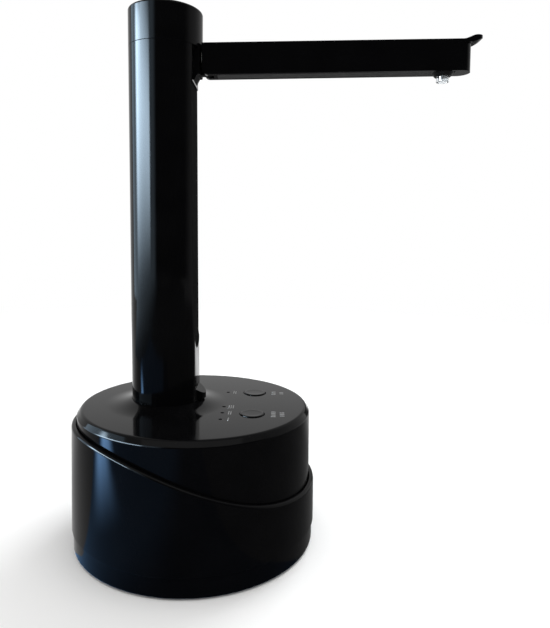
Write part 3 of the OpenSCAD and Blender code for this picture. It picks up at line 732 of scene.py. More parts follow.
def bezier(points: Sequence[Point], steps: int) -> list[Point]:
    """Gives the points of a curve with one or two handles.

    Args:
        points: First point, handles and last point.
        steps: Points less one.

    Returns:
        The points of the curve.
    """
    spots = []
    for k in range(steps + 1):
        level = [Vector(p) for p in points]
        while len(level) > 1:
            level = [a.lerp(b, k / steps) for a, b in zip(level, level[1:])]
        spots.append((level[0].x, level[0].y))
    return spots


class Assembly:
    """A group of pieces that share a painter and are set on the frame alike."""

    def __init__(self, painter: Painter) -> None:
        """Keeps the painter.

        Args:
            painter: Maker of the materials.
        """
        self.painter = painter

    def place(self, piece: Piece, body: Body, finish: Finish, nodes: Sequence[str] = ()) -> None:
        """Shades, paints and mounts a finished piece.

        Args:
            piece: The modelled object.
            body: CAD body that it rides on.
            finish: Its finish.
            nodes: CAD nodes that it stands for.
        """
        self.dress(piece, finish)
        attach(piece, body.value)
        if nodes:
            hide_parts(*nodes)
        LOG.info("piece %s on %s: %d faces", piece.name, body.value, len(piece.data.polygons))

    def dress(self, piece: Piece, finish: Finish) -> None:
        """Shades a piece smooth and gives it a finish.

        Args:
            piece: The object.
            finish: The finish.
        """
        Bench.pick(piece)
        bpy.ops.object.shade_smooth_by_angle(angle=FINE_ANGLE)
        Bench.modify(piece, "WEIGHTED_NORMAL", keep_sharp=True)
        piece.data.materials.clear()
        piece.data.materials.append(self.painter.material(finish))


@dataclass(frozen=True)
class BaseSizes:
    """Sizes of the base shell in metres."""

    radius: float = 50.0 * MM
    draft: float = math.tan(math.radians(1.2))
    sleeve_wall: float = 1.85 * MM
    sleeve_gap: float = 0.12 * MM
    sleeve_round: float = 0.3 * MM
    band_inset: float = 0.7 * MM
    band_top: float = 8.5 * MM
    band_round: float = 0.9 * MM
    band_edge: float = 0.35 * MM
    plate_low: float = 0.5 * MM
    plate_gap: float = 0.05 * MM
    plate_round: float = 0.2 * MM
    floor_top: float = 2.9 * MM
    wall: float = 2.4 * MM
    deck: float = 56.2 * MM
    deck_thick: float = 2.6 * MM
    deck_ring: float = 4.0 * MM
    deck_round: float = 1.6 * MM
    edge_run: float = 1.7 * MM
    edge_drop: float = 2.2 * MM
    edge_round: float = 1.0 * MM
    hole_round: float = 0.18 * MM
    rim_mid: float = 38.6 * MM
    rim_amp: float = 12.4 * MM
    rim_shift: float = 6.5 * MM
    rim_span: float = 49.0 * MM
    rim_round: float = 1.1 * MM
    rim_inner: float = 0.4 * MM
    column_x: float = -11.9 * MM
    column_hole: float = 14.1 * MM
    flare_radius: float = 25.0 * MM
    flare_rise: float = 1.9 * MM
    flare_steps: int = 14
    key_x: float = 23.85 * MM
    key_y: float = 14.9 * MM
    key_hole: float = 5.0 * MM
    lamp_x: float = 12.2 * MM
    lamp_back: float = 0.7 * MM
    lamp_step: float = 7.9 * MM
    lamp_radius: float = 0.75 * MM
    lamp_gap: float = 0.02 * MM
    lens_low: float = 48.0 * MM
    lens_rise: float = 0.1 * MM
    lens_sink: float = 0.75

    def sleeve(self, z: float) -> float:
        """Outer radius of the sleeve at a height."""
        return self.radius - z * self.draft

    def upper(self, z: float) -> float:
        """Outer radius of the upper housing at a height."""
        return self.sleeve(z) - self.sleeve_wall - self.sleeve_gap

    def rim(self, x: float) -> float:
        """Height of the sleeve's rim at a place along X."""
        turn = max(-1.0, min(1.0, (x - self.rim_shift) / self.rim_span))
        return self.rim_mid - self.rim_amp * math.sin(turn * math.pi / 2)

    def lamps(self) -> list[Point]:
        """Places of the indicator lenses, the rear one first."""
        front = [(self.lamp_x, i * self.lamp_step - self.key_y + self.lamp_back) for i in (1, 0, -1)]
        return [(self.lamp_x, self.key_y), *front]


@dataclass(frozen=True)
class FootSizes:
    """Sizes of the rubber pad under the base in metres."""

    radius: float = 45.9 * MM
    top: float = 1.1 * MM
    edge_round: float = 0.25 * MM
    rings: tuple[float, ...] = (18.0 * MM, 27.0 * MM, 36.0 * MM)
    groove: float = 0.35 * MM
    groove_half: float = 0.6 * MM
    groove_round: float = 0.12 * MM


@dataclass(frozen=True)
class PrintSizes:
    """Sizes of the plain bars on the deck in metres, and how many stand side by side."""

    thick: float = 0.03 * MM
    corner_share: float = 0.35
    thin: Point = (0.42 * MM, 4.2 * MM)
    thin_shift: float = 2.9 * MM
    thin_pitch: float = 0.85 * MM
    thin_counts: tuple[int, ...] = (2, 3, 2, 1)
    block: Point = (1.9 * MM, 1.15 * MM)
    block_shift: float = 8.3 * MM
    block_pitch: float = 1.9 * MM
    row_pitch: float = 3.4 * MM
    rear_counts: tuple[int, ...] = (3, 2)
    front_counts: tuple[int, ...] = (4, 3)


@dataclass(frozen=True)
class InletSizes:
    """Sizes of the hose inlet in metres; its two inner ends are counted from the base's middle."""

    x: float = 11.0 * MM
    z: float = 14.5 * MM
    boss: float = 5.6 * MM
    boss_bore: float = 3.7 * MM
    boss_deep: float = 10.0 * MM
    boss_gap: float = 0.3 * MM
    boss_round: float = 0.3 * MM
    bore: float = 1.1 * MM
    nipple: float = 1.7 * MM
    nipple_end: float = 38.0 * MM
    nipple_round: float = 0.2 * MM
    plug: float = 3.6 * MM
    plug_end: float = 42.0 * MM
    flange: float = 5.4 * MM
    flange_thick: float = 1.6 * MM
    flange_back: float = 0.25 * MM
    flange_front: float = 0.4 * MM
    root: float = 2.8 * MM
    root_round: float = 0.3 * MM
    barb: float = 3.2 * MM
    barb_count: int = 3
    barb_step: float = 3.0 * MM
    barb_flat: float = 0.8 * MM
    barb_run: float = 1.9 * MM
    barb_round: float = 0.1 * MM
    barb_corner: float = 0.08 * MM
    reach: float = 13.6 * MM

    @property
    def aim(self) -> Matrix:
        """The turn and shift that lay an upright piece along the inlet's axis."""
        return Matrix.Translation((self.x, 0.0, self.z)) @ Matrix.Rotation(-math.pi / 2, 4, "X")


@dataclass(frozen=True)
class ChargeSizes:
    """Sizes of the charging socket in metres."""

    angle: float = math.radians(118.0)
    low: float = 14.0 * MM
    wide: float = 9.0 * MM
    high: float = 3.2 * MM
    deep: float = 7.2 * MM
    inset: float = 4.6 * MM
    wall: float = 0.35 * MM
    back: float = 1.0 * MM
    gap: float = 0.3 * MM
    tongue_half: float = 3.0 * MM
    tongue_thick: float = 0.7 * MM
    tongue_inset: float = 1.1 * MM
    tongue_round: float = 0.1 * MM


class BaseShell(Assembly):
    """Foot pad, plate, sleeve, housing, lenses, print, hose inlet and charging socket."""

    sizes = BaseSizes()
    foot = FootSizes()
    marks = PrintSizes()
    inlet = InletSizes()
    charge = ChargeSizes()

    def build(self) -> None:
        """Builds every piece of the base in order from the table up."""
        for step in (self.foot_pad, self.plate, self.sleeve, self.housing, self.lenses,
                     self.print_marks, self.hose_inlet, self.charge_socket):
            step()

    def foot_pad(self) -> None:
        """Builds the rubber pad with ring grooves on its underside."""
        f = self.foot
        profile = [(0.0, 0.0, 0.0)]
        for ring in f.rings:
            near, far = ring - f.groove_half, ring + f.groove_half
            profile += [(r, z, f.groove_round) for r, z in
                        ((near, 0.0), (near, f.groove), (far, f.groove), (far, 0.0))]
        profile += [(f.radius, 0.0, f.edge_round), (f.radius, f.top, 0.0), (0.0, f.top, 0.0)]
        piece = Bench.lathe("foot_rings", rounded(profile, 3), steps=128)
        self.place(piece, Body.BASE, Finishes.FOOT, ["foot_pad"])

    def plate(self) -> None:
        """Builds the base plate with its low inset band."""
        s, f = self.sizes, self.foot
        band, inner, lip = s.radius - s.band_inset, s.upper(s.band_top) - s.wall, f.radius + s.plate_gap
        corners = [(0.0, f.top, 0.0), (lip, f.top, 0.0), (lip, s.plate_low, s.plate_round),
                   (band, s.plate_low, s.band_round), (band, s.band_top, s.band_edge),
                   (inner, s.band_top, 0.0), (inner, s.floor_top, 0.0), (0.0, s.floor_top, 0.0)]
        piece = Bench.lathe("base_band", rounded(corners))
        self.place(piece, Body.BASE, Finishes.GLOSS, ["base_plate"])

    def cutters(self) -> list[Piece]:
        """Makes the tools that open the back wall for the hose inlet and the charging plug.

        Returns:
            A round tool and a slot tool.
        """
        r, i, c = self.sizes.radius, self.inlet, self.charge
        hole = Bench.across("inlet_tool", circle((i.x, i.z), i.boss + i.boss_gap, 64), r * 0.7, r * 1.7)
        wide = c.wide / 2 + c.gap
        slot = Bench.box("slot_tool", Vector((r * 0.8, -wide, c.low - c.gap)),
                         Vector((r * 1.2, wide, c.low + c.high + c.gap)))
        return [hole, Bench.turn(slot, Matrix.Rotation(c.angle, 4, "Z"))]

    def sleeve(self) -> None:
        """Builds the outer skirt, lifts its rim to the wave and opens it at the back."""
        s = self.sizes
        inner, level = -s.sleeve_wall, s.rim_mid
        corners = [(inner, s.band_top, 0.0), (0.0, s.band_top, s.sleeve_round), (0.0, level, s.rim_round),
                   (inner, level, s.rim_inner), (inner, s.band_top, 0.0)]
        rings = [(0.0, s.sleeve(z) + off, z) for off, z in rounded(corners, 7)[:-1]]
        piece = Bench.loft("lower_skirt", rings, 256)
        Bench.pick(piece)
        bpy.ops.object.mode_set(mode="EDIT")
        mesh = bmesh.from_edit_mesh(piece.data)
        for vert in mesh.verts:
            if vert.co.z > (s.band_top + level) / 2:
                rise = s.rim(vert.co.x) - level
                radius = math.hypot(vert.co.x, vert.co.y)
                shrink = (radius - rise * s.draft) / radius
                vert.co = (vert.co.x * shrink, vert.co.y * shrink, vert.co.z + rise)
        bmesh.update_edit_mesh(piece.data)
        Bench.clear()
        for tool in self.cutters():
            Bench.combine(piece, tool)
        self.place(piece, Body.BASE, Finishes.GLOSS, ["lower_sleeve"])

    def housing(self) -> None:
        """Builds the upper housing with its deck, flare and openings."""
        s = self.sizes
        under, edge, run = s.deck - s.deck_thick, s.deck - s.edge_drop, s.flare_radius - s.column_hole
        bow = (run ** 2 + s.flare_rise ** 2) / (2 * s.flare_rise)
        rings = [(s.column_x, s.column_hole, under)]
        for k in range(s.flare_steps + 1):
            r = s.column_hole + run * k / s.flare_steps
            z = s.deck + bow - math.sqrt(bow ** 2 - (s.flare_radius - r) ** 2)
            rings.append((s.column_x, r, z))
        outer = s.upper(edge)
        for share in (0.35, 0.7):
            reach = s.flare_radius + (outer - s.deck_ring - s.flare_radius) * share
            rings.append((s.column_x * (1 - share), reach, s.deck))
        foot = s.upper(s.band_top)
        brow = rounded([(outer - s.deck_ring, s.deck, 0.0), (outer - s.edge_run, s.deck, s.deck_round),
                        (outer, edge, s.edge_round), (foot, s.band_top, 0.0)], 7)
        brow += [(foot - s.wall, s.band_top), (s.upper(under) - s.wall, under)]
        rings += [(0.0, r, z) for r, z in brow]
        piece = Bench.loft("upper_shell", rings, 256)
        tools = self.cutters()
        for x, y, r in [(s.key_x, s.key_y, s.key_hole), (s.key_x, -s.key_y, s.key_hole),
                        *((x, y, s.lamp_radius + s.lamp_gap) for x, y in s.lamps())]:
            tools.append(Bench.upright("deck_tool", circle((x, y), r, 64), under - MM, s.deck + 3 * MM))
        for tool in tools:
            Bench.combine(piece, tool)
        Bench.soften(piece, s.hole_round, 2, math.radians(50))
        self.place(Bench.join([piece, self.inlet_boss()]), Body.BASE, Finishes.GLOSS, ["upper_housing"])

    def inlet_boss(self) -> Piece:
        """Builds the round boss in the back wall that holds the hose inlet.

        Returns:
            The boss.
        """
        i, face = self.inlet, self.sizes.radius
        back = face - i.boss_deep
        corners = [(i.boss_bore, back, 0.0), (i.boss, back, 0.0), (i.boss, face, i.boss_round),
                   (i.boss_bore, face, 0.0), (i.boss_bore, back, 0.0)]
        return Bench.turn(Bench.lathe("inlet_boss", rounded(corners, 3), steps=64), i.aim)

    def lenses(self) -> None:
        """Builds one indicator lens, a thin rod with a domed end, and sets a copy at each place."""
        s = self.sizes
        low, top, r = s.lens_low, s.deck, s.lamp_radius
        dome = [(0.0, low), (r, low), *arc((0.0, top - r * s.lens_sink), r, 20.0, 90.0, 6)]
        rod = Bench.lathe("lens_blank", [(a, min(b, top + s.lens_rise)) for a, b in dome], steps=32)
        rods = [Bench.twin(rod, "deck_lenses", Vector((x, y, 0.0))) for x, y in s.lamps()]
        bpy.data.objects.remove(rod)
        self.place(Bench.join(rods), Body.BASE, Finishes.LENS, ["light_pipes"])

    def bar(self, size: Point) -> Piece:
        """Models one thin bar with round corners at the origin.

        Args:
            size: Size along X and Y.

        Returns:
            The bar, to be copied.
        """
        r = min(size) * self.marks.corner_share
        x, y = size[0] / 2 - r, size[1] / 2 - r
        corners = ((x, y, 0.0), (-x, y, 90.0), (-x, -y, 180.0), (x, -y, 270.0))
        ring = [spot for cx, cy, start in corners for spot in arc((cx, cy), r, start, start + 90.0, 3)]
        return Bench.upright("print_blank", ring, 0.0, self.marks.thick)

    @staticmethod
    def spread(count: int, pitch: float) -> list[float]:
        """Shifts of a number of marks that stand side by side about the middle."""
        return [(i - (count - 1) / 2) * pitch for i in range(count)]

    def print_marks(self) -> None:
        """Prints plain bars beside the lenses and rows of short bars beside the keys."""
        s, m = self.sizes, self.marks
        thin, block = self.bar(m.thin), self.bar(m.block)
        spots: list[tuple[Piece, float, float]] = []
        for count, (x, y) in zip(m.thin_counts, s.lamps()):
            spots += [(thin, x + m.thin_shift + shift, y) for shift in self.spread(count, m.thin_pitch)]
        for y, counts in ((s.key_y, m.rear_counts), (-s.key_y, m.front_counts)):
            for row, count in enumerate(counts):
                x = s.key_x + m.block_shift + m.row_pitch * row
                spots += [(block, x, y + shift) for shift in self.spread(count, m.block_pitch)]
        pieces = [Bench.twin(blank, "deck_print", Vector((x, y, s.deck))) for blank, x, y in spots]
        for blank in (thin, block):
            bpy.data.objects.remove(blank)
        self.place(Bench.join(pieces), Body.BASE, Finishes.PRINT)

    def hose_inlet(self) -> None:
        """Builds the barbed inlet with its flange and bore."""
        i, face = self.inlet, self.sizes.radius
        brim, tip = face + i.flange_thick, face + i.reach
        corners = [(i.bore, i.nipple_end, 0.0), (i.nipple, i.nipple_end, i.nipple_round),
                   (i.nipple, i.plug_end, 0.0), (i.plug, i.plug_end, 0.0), (i.plug, face, 0.0),
                   (i.flange, face, i.flange_back), (i.flange, brim, i.flange_front),
                   (i.root, brim, i.root_round)]
        for k in range(1, i.barb_count + 1):
            y = brim + k * i.barb_step
            corners += [(i.root, y, i.barb_corner), (i.barb, y, i.barb_round),
                        (i.barb, y + i.barb_flat, i.barb_round), (i.root, y + i.barb_run, i.barb_round)]
        corners += [(i.root, tip, i.root_round), (i.bore, tip, i.nipple_round), (i.bore, i.nipple_end, 0.0)]
        piece = Bench.lathe("inlet_barb", rounded(corners, 3), steps=64)
        self.place(Bench.turn(piece, i.aim), Body.BASE, Finishes.SATIN, ["hose_inlet"])

    def charge_socket(self) -> None:
        """Builds the metal charging socket with its tongue."""
        c = self.charge
        wide, high, mouth = c.wide / 2, c.high / 2, self.sizes.radius - c.inset
        end = mouth - c.deep
        outline = [*arc((wide - high, 0.0), high, -90, 90, 12), *arc((high - wide, 0.0), high, 90, 270, 12)]
        piece = Bench.chain("charge_shell", [Vector((end, a, b)) for a, b in outline])
        bpy.ops.mesh.select_all(action="SELECT")
        bpy.ops.mesh.edge_face_add()
        bpy.ops.mesh.extrude_region_move(TRANSFORM_OT_translate={"value": (c.deep, 0.0, 0.0)})
        bpy.ops.mesh.inset(thickness=c.wall)
        bpy.ops.mesh.extrude_region_move(TRANSFORM_OT_translate={"value": (c.back - c.deep, 0.0, 0.0)})
        Bench.settle(piece)
        tongue = Bench.box("charge_tongue", Vector((end + c.back, -c.tongue_half, -c.tongue_thick / 2)),
                           Vector((mouth - c.tongue_inset, c.tongue_half, c.tongue_thick / 2)))
        piece = Bench.join([piece, Bench.soften(tongue, c.tongue_round, 2)])
        aim = Matrix.Rotation(c.angle, 4, "Z") @ Matrix.Translation((0.0, 0.0, c.low + high))
        self.place(Bench.turn(piece, aim), Body.BASE, Finishes.NICKEL, ["charge_socket"])


@dataclass(frozen=True)
class ColumnSizes:
    """Sizes of the column and the hinge in metres."""

    x: float = -11.9 * MM
    radius: float = 14.0 * MM
    bore: float = 8.6 * MM
    low: float = 46.2 * MM
    seam: float = 194.1 * MM
    seam_step: float = 0.02 * MM
    seam_round: float = 0.25 * MM
    edge_round: float = 0.14 * MM
    cap: float = 13.6 * MM
    cap_round: float = 0.9 * MM
    cap_gap: float = 0.08 * MM
    flat_depth: float = 2.9 * MM
    flat_tilt: float = math.radians(0.64)
    flat_low: float = 63.0 * MM
    toe_run: float = 2.0 * MM
    toe_drop: float = 2.5 * MM
    toe_low: float = 58.4 * MM
    toe_inset: float = 0.45 * MM
    pad_low: float = 79.2 * MM
    pad_drop: float = 3.2 * MM
    pad_bend: float = 7.0 * MM
    pad_thick: float = 0.8 * MM
    pad_sink: float = 0.4 * MM
    pad_gap: float = 0.06 * MM
    pad_round: float = 0.2 * MM
    pivot_x: float = 4.4 * MM
    pivot_drop: float = 7.45 * MM
    pivot_in: float = 1.9 * MM
    block_half: float = 4.3 * MM
    block_deep: float = 2.3 * MM
    block_root: float = 1.2 * MM
    slope_start: float = 5.0 * MM
    slope_end: float = 3.75 * MM
    lug_half: float = 1.5 * MM
    lug_radius: float = 1.6 * MM
    lug_root: float = 1.8 * MM
    pin_radius: float = 0.8 * MM
    pin_gap: float = 0.03 * MM
    tube_up: float = 4.9 * MM
    window: float = 2.6 * MM

    @property
    def pivot_z(self) -> float:
        """Height of the hinge axis."""
        return self.seam - self.pivot_drop

    @property
    def block_low(self) -> float:
        """Height of the underside of the hinge block."""
        return self.pivot_z - self.pivot_in

    def flat(self, z: float) -> float:
        """Place on X of the flat at a height."""
        return self.x + self.radius - self.flat_depth + (self.seam - z) * math.tan(self.flat_tilt)

    def pad_half(self, z: float) -> float:
        """Half of the pad's width at a height, out to the column's skin."""
        return math.sqrt(self.radius ** 2 - (self.flat(z) - self.pad_sink - self.x) ** 2) + self.pad_gap

    @property
    def toe_reach(self) -> float:
        """Reach of the toe past the flat's lower end."""
        return self.x + self.radius + self.toe_run - self.flat(self.flat_low)


class Column(Assembly):
    """Column tube, cap and rest pad."""

    sizes = ColumnSizes()

    def build(self) -> None:
        """Builds the column from the foot up."""
        for step in (self.tube, self.cap, self.rest_pad):
            step()

    def pad_outline(self, grow: float) -> list[Vector]:
        """Gives the outline of the rest pad's underside, in the lean of the flat.

        Args:
            grow: Growth of the outline all round.

        Returns:
            The corners.
        """
        s = self.sizes
        top = s.block_low - s.pad_drop
        half_low, half_high = s.pad_half(s.pad_low + s.pad_bend), s.pad_half(top) + grow
        ring = arc((0.0, s.pad_low + half_low), half_low + grow, 180.0, 360.0, 28)
        points = [(half_high, top + grow), (-half_high, top + grow), *ring]
        return [Vector((s.flat(z) - s.pad_thick - s.pad_sink, y, z)) for y, z in points]

    def tube(self) -> None:
        """Builds the column with its flat, hinge block, lug, hose window and pad pocket."""
        s = self.sizes
        far, top, wide = s.x + 3 * s.radius, s.seam + 5 * MM, 2 * s.radius
        spare = s.seam + MM
        profile = [(s.bore, s.low), (s.radius, s.low), (s.radius, spare), (s.bore, spare), (s.bore, s.low)]
        piece = Bench.lathe("column_body", profile, (s.x, 0.0))
        Bench.combine(piece, self.toe(), "UNION")
        foot = s.flat(s.flat_low)
        fall = s.flat_low - (far - foot) * s.toe_drop / s.toe_reach
        plane = [(foot, s.flat_low), (s.flat(top), top), (far, top), (far, fall)]
        Bench.combine(piece, Bench.across("flat_tool", plane, -wide, wide))
        Bench.combine(piece, self.hinge_block(), "UNION")
        pivot, root = (s.pivot_x, s.pivot_z), s.x + s.bore + s.lug_root
        lug = [*arc(pivot, s.lug_radius, -90.0, 90.0, 20), (root, s.pivot_z + s.lug_radius),
               (root, s.pivot_z - s.lug_radius)]
        Bench.combine(piece, Bench.across("hinge_lug", lug, -s.lug_half, s.lug_half), "UNION")
        axis = s.pivot_z + s.tube_up
        window = [Vector((s.x, y, z)) for y, z in
                  [*arc((0.0, axis), s.window, 180.0, 360.0, 24), (s.window, top), (-s.window, top)]]
        pin = circle(pivot, s.pin_radius + s.pin_gap, 32)
        for tool in (Bench.slab("window_tool", window, Vector((far, 0.0, 0.0))),
                     Bench.slab("pad_tool", self.pad_outline(s.pad_gap), Vector((far, 0.0, 0.0))),
                     Bench.across("pin_tool", pin, -s.radius, s.radius),
                     Bench.box("top_tool", Vector((-far, -wide, s.seam)), Vector((far, wide, top)))):
            Bench.combine(piece, tool)
        Bench.soften(piece, s.edge_round, 2, math.radians(40))
        self.place(piece, Body.BASE, Finishes.GLOSS, ["column_tube"])

    def toe(self) -> Piece:
        """Builds the round toe under the flat, before its top is cut to a slope.

        Returns:
            The toe, an upright slab that reaches into the column's wall.
        """
        s = self.sizes
        foot = s.flat(s.flat_low)
        half = math.sqrt(s.radius ** 2 - (foot - s.x) ** 2) - s.toe_inset
        bend = (half ** 2 + s.toe_reach ** 2) / (2 * s.toe_reach)
        middle = foot + s.toe_reach - bend
        side = math.degrees(math.acos((foot - MM - middle) / bend))
        ring = arc((middle, 0.0), bend, -side, side, 48)
        return Bench.upright("column_toe", ring, s.toe_low, s.flat_low + 3 * MM)

    def hinge_block(self) -> Piece:
        """Builds the block above the flat that the arm's root closes against.

        Returns:
            The block, round in front as the column is.
        """
        s = self.sizes
        under, inside = s.block_low - s.block_deep, s.flat(s.block_low) - s.block_root
        out, over = s.x + 2 * s.radius, s.seam + 2 * MM
        side = [(inside, under), (s.pivot_x - s.slope_start, under), (s.pivot_x - s.slope_end, s.block_low),
                (out, s.block_low), (out, over), (inside, over)]
        block = Bench.across("hinge_block", side, -s.block_half, s.block_half)
        low, high = under - MM, over + MM
        profile = [(0.0, low), (s.radius, low), (s.radius, high), (0.0, high)]
        return Bench.combine(block, Bench.lathe("block_trim", profile, (s.x, 0.0)), "INTERSECT")

    def cap(self) -> None:
        """Builds the round cap with its soft top edge and seam line."""
        s = self.sizes
        top, inside, low = s.seam + s.cap, s.bore - s.cap_gap, s.seam - s.seam_step
        corners = [(0.0, low, 0.0), (inside, low, 0.0), (inside, s.seam, 0.0),
                   (s.radius, s.seam + s.seam_step, s.seam_round), (s.radius, top, s.cap_round),
                   (0.0, top, 0.0)]
        piece = Bench.lathe("column_top", rounded(corners, 8), (s.x, 0.0))
        self.place(piece, Body.BASE, Finishes.GLOSS, ["column_cap"])

    def rest_pad(self) -> None:
        """Builds the soft pad that the folded arm rests on."""
        s = self.sizes
        piece = Bench.slab("rest_strip", self.pad_outline(0.0), Vector((s.pad_thick, 0.0, 0.0)))
        Bench.soften(piece, s.pad_round)
        self.place(piece, Body.BASE, Finishes.PAD, ["rest_pad"])


@dataclass(frozen=True)
class ArmSizes:
    """Sizes of the spout arm in metres, in its own frame with the hinge axis at zero."""

    rise: float = math.radians(2.13)
    width: float = 8.6 * MM
    height: float = 11.35 * MM
    length: float = 100.0 * MM
    wall: float = 1.3 * MM
    gap: float = 0.02 * MM
    edge_round: float = 0.28 * MM
    cave_past: float = 4.2 * MM
    tab_run: float = 3.9 * MM
    tab_rise: float = 1.4 * MM
    tab_corner: float = 2.6 * MM
    tab_thick: float = 0.9 * MM
    tab_root: float = 1.2 * MM
    nozzle_in: float = 10.3 * MM
    collar_drop: float = 1.35 * MM
    collar_lip: float = 0.6 * MM
    collar_brim: float = 0.1 * MM
    collar_round: float = 0.25 * MM
    seat_back: float = 5.0 * MM
    seat_front: float = 3.6 * MM
    seat_round: float = 0.15 * MM
    tip: float = 1.9 * MM
    tube: float = 2.4 * MM
    tube_wall: float = 0.7 * MM
    tube_start: float = 2.2 * MM
    tube_round: float = 0.15 * MM
    bend: float = 4.4 * MM
    floor_thick: float = 1.4 * MM
    floor_round: float = 0.2 * MM
    knuckle: float = 3.4 * MM
    notch: float = 2.1 * MM
    notch_half: float = 1.8 * MM
    notch_lift: float = 0.4 * MM
    hose_root: float = 0.6 * MM
    hose_past: float = 0.1 * MM
    hose_gap: float = 0.03 * MM
    hose_runs: int = 8


class SpoutArm(Assembly):
    """Arm shell, floor, outlet collar, clear tube and the soft hose at the hinge."""

    sizes = ArmSizes()
    hinge = ColumnSizes()

    def build(self) -> None:
        """Builds the arm's pieces from the shell inwards."""
        for step in (self.shell, self.floor, self.collar, self.tube, self.hinge_hose):
            step()

    @property
    def seat(self) -> Matrix:
        """The place of the arm's own frame."""
        at = Matrix.Translation((self.hinge.pivot_x, 0.0, self.hinge.pivot_z))
        return at @ Matrix.Rotation(-self.sizes.rise, 4, "Y")

    @property
    def low(self) -> float:
        """Height of the arm's underside in its own frame."""
        return -self.hinge.pivot_in

    @property
    def nozzle(self) -> float:
        """Distance of the outlet from the hinge axis."""
        return self.sizes.length - self.sizes.nozzle_in

    def shell(self) -> None:
        """Builds the beam with its round end, finger tab, hollow and hinge knuckles."""
        s, low = self.sizes, self.low
        rear, top, half = -self.hinge.pivot_in, low + s.height, s.width / 2
        plan = [(rear, half), (rear, -half), *arc((s.length - half, 0.0), half, -90.0, 90.0, 48)]
        piece = Bench.upright("arm_beam", plan, low, top)
        Bench.combine(piece, self.tab(top), "UNION")
        cave, roof, far = half - s.wall, top - s.wall, self.nozzle + s.cave_past
        behind, under = rear - MM, low - MM
        for name, near, end in (
                ("hose_tool", (behind, -cave, s.notch + s.notch_lift), (far, cave, roof)),
                ("cave_tool", (s.knuckle, -cave, under), (far, cave, roof)),
                ("lug_tool", (behind, -s.notch_half, under), (s.notch, s.notch_half, s.notch))):
            Bench.combine(piece, Bench.box(name, Vector(near), Vector(end)))
        heel = [(behind, under), (0.0, under), *arc((0.0, 0.0), -rear, -90.0, -180.0, 16), (behind, 0.0)]
        Bench.combine(piece, Bench.across("heel_tool", heel, -s.width, s.width))
        Bench.soften(piece, s.edge_round, 3, math.radians(40))
        self.place(Bench.turn(piece, self.seat), Body.ARM, Finishes.GLOSS, ["arm_shell"])

    def tab(self, top: float) -> Piece:
        """Builds the finger tab, a lip that leaves the arm's top and ends blunt.

        Args:
            top: Height of the arm's top.

        Returns:
            The tab, with a root inside the arm.
        """
        s = self.sizes
        end, tip, high, half = s.length, s.length + s.tab_run, top + s.tab_rise, s.width / 2
        root, inside = end - half - 4 * MM, top - s.tab_root
        upper = bezier([(end - 3.6 * MM, top), (end - 1.8 * MM, top + 0.1 * s.tab_rise),
                        (end - 0.3 * MM, high), (end + 1.4 * MM, high)], 10)
        lower = bezier([(tip, high - s.tab_thick), (tip - 0.5 * MM, top + 0.15 * MM),
                        (end + 1.8 * MM, top - 0.5 * MM), (end - 0.3 * MM, inside)], 10)
        outline = [(root, top - s.tab_root / 2), *upper, (tip, high), *lower, (root, inside)]
        tab = Bench.across("finger_tab", outline, -s.width, s.width)
        corner, inn = tip - s.tab_corner, half - s.tab_corner
        ring = [(root - MM, half), (root - MM, -half), *arc((corner, -inn), s.tab_corner, -90.0, 0.0, 16),
                *arc((corner, inn), s.tab_corner, 0.0, 90.0, 16)]
        return Bench.combine(tab, Bench.upright("tab_trim", ring, top - 5 * MM, top + 5 * MM), "INTERSECT")

    def floor(self) -> None:
        """Builds the cover of the arm's underside."""
        s = self.sizes
        cave, far = s.width / 2 - s.wall - s.gap, self.nozzle - s.seat_back - s.gap
        piece = Bench.box("arm_cover", Vector((s.knuckle + s.gap, -cave, self.low)),
                          Vector((far, cave, self.low + s.floor_thick)))
        Bench.soften(piece, s.floor_round)
        self.place(Bench.turn(piece, self.seat), Body.ARM, Finishes.SATIN, ["arm_floor"])

    def collar(self) -> None:
        """Builds the outlet's conical collar on its seat."""
        s, at = self.sizes, self.nozzle
        cave, hole = s.width / 2 - s.wall - s.gap, s.tube + s.gap
        brim, lip = s.width / 2 - s.collar_brim, s.tube + s.collar_lip
        low = self.low - s.collar_drop
        seat = Bench.box("outlet_collar", Vector((at - s.seat_back, -cave, self.low)),
                         Vector((at + s.seat_front, cave, self.low + s.floor_thick)))
        ring = circle((at, 0.0), hole, 48)
        Bench.combine(seat, Bench.upright("outlet_tool", ring, self.low - MM, self.low + 4 * MM))
        corners = [(hole, low, 0.0), (lip, low, s.collar_round), (brim, self.low, 0.0), (hole, self.low, 0.0),
                   (hole, low, 0.0)]
        cone = Bench.lathe("outlet_cone", rounded(corners, 4), (at, 0.0), 64)
        piece = Bench.join([Bench.soften(seat, s.seat_round, 2), cone])
        self.place(Bench.turn(piece, self.seat), Body.ARM, Finishes.SATIN, ["nozzle_collar"])

    def tube(self) -> None:
        """Builds the clear tube along the arm, with its bend and its open outlet."""
        s = self.sizes
        up, start = self.hinge.tube_up, s.tube_start - self.hinge.pivot_in
        low = self.low - s.collar_drop - s.tip
        bend = (Vector((self.nozzle - s.bend, 0.0, up - s.bend)), Vector((0.0, 1.0, 0.0)), math.pi / 2)
        runs = [Vector((self.nozzle - s.bend - start, 0.0, 0.0)), bend, Vector((0.0, 0.0, low - up + s.bend))]
        piece = Bench.pipe("spout_tube", Vector((start, 0.0, up)), runs, s.tube)
        Bench.modify(piece, "SOLIDIFY", thickness=s.tube_wall, offset=-1.0, use_even_offset=True)
        Bench.soften(piece, s.tube_round, 2, math.radians(60))
        self.place(Bench.turn(piece, self.seat), Body.ARM, Finishes.CLEAR, ["arm_tube"])

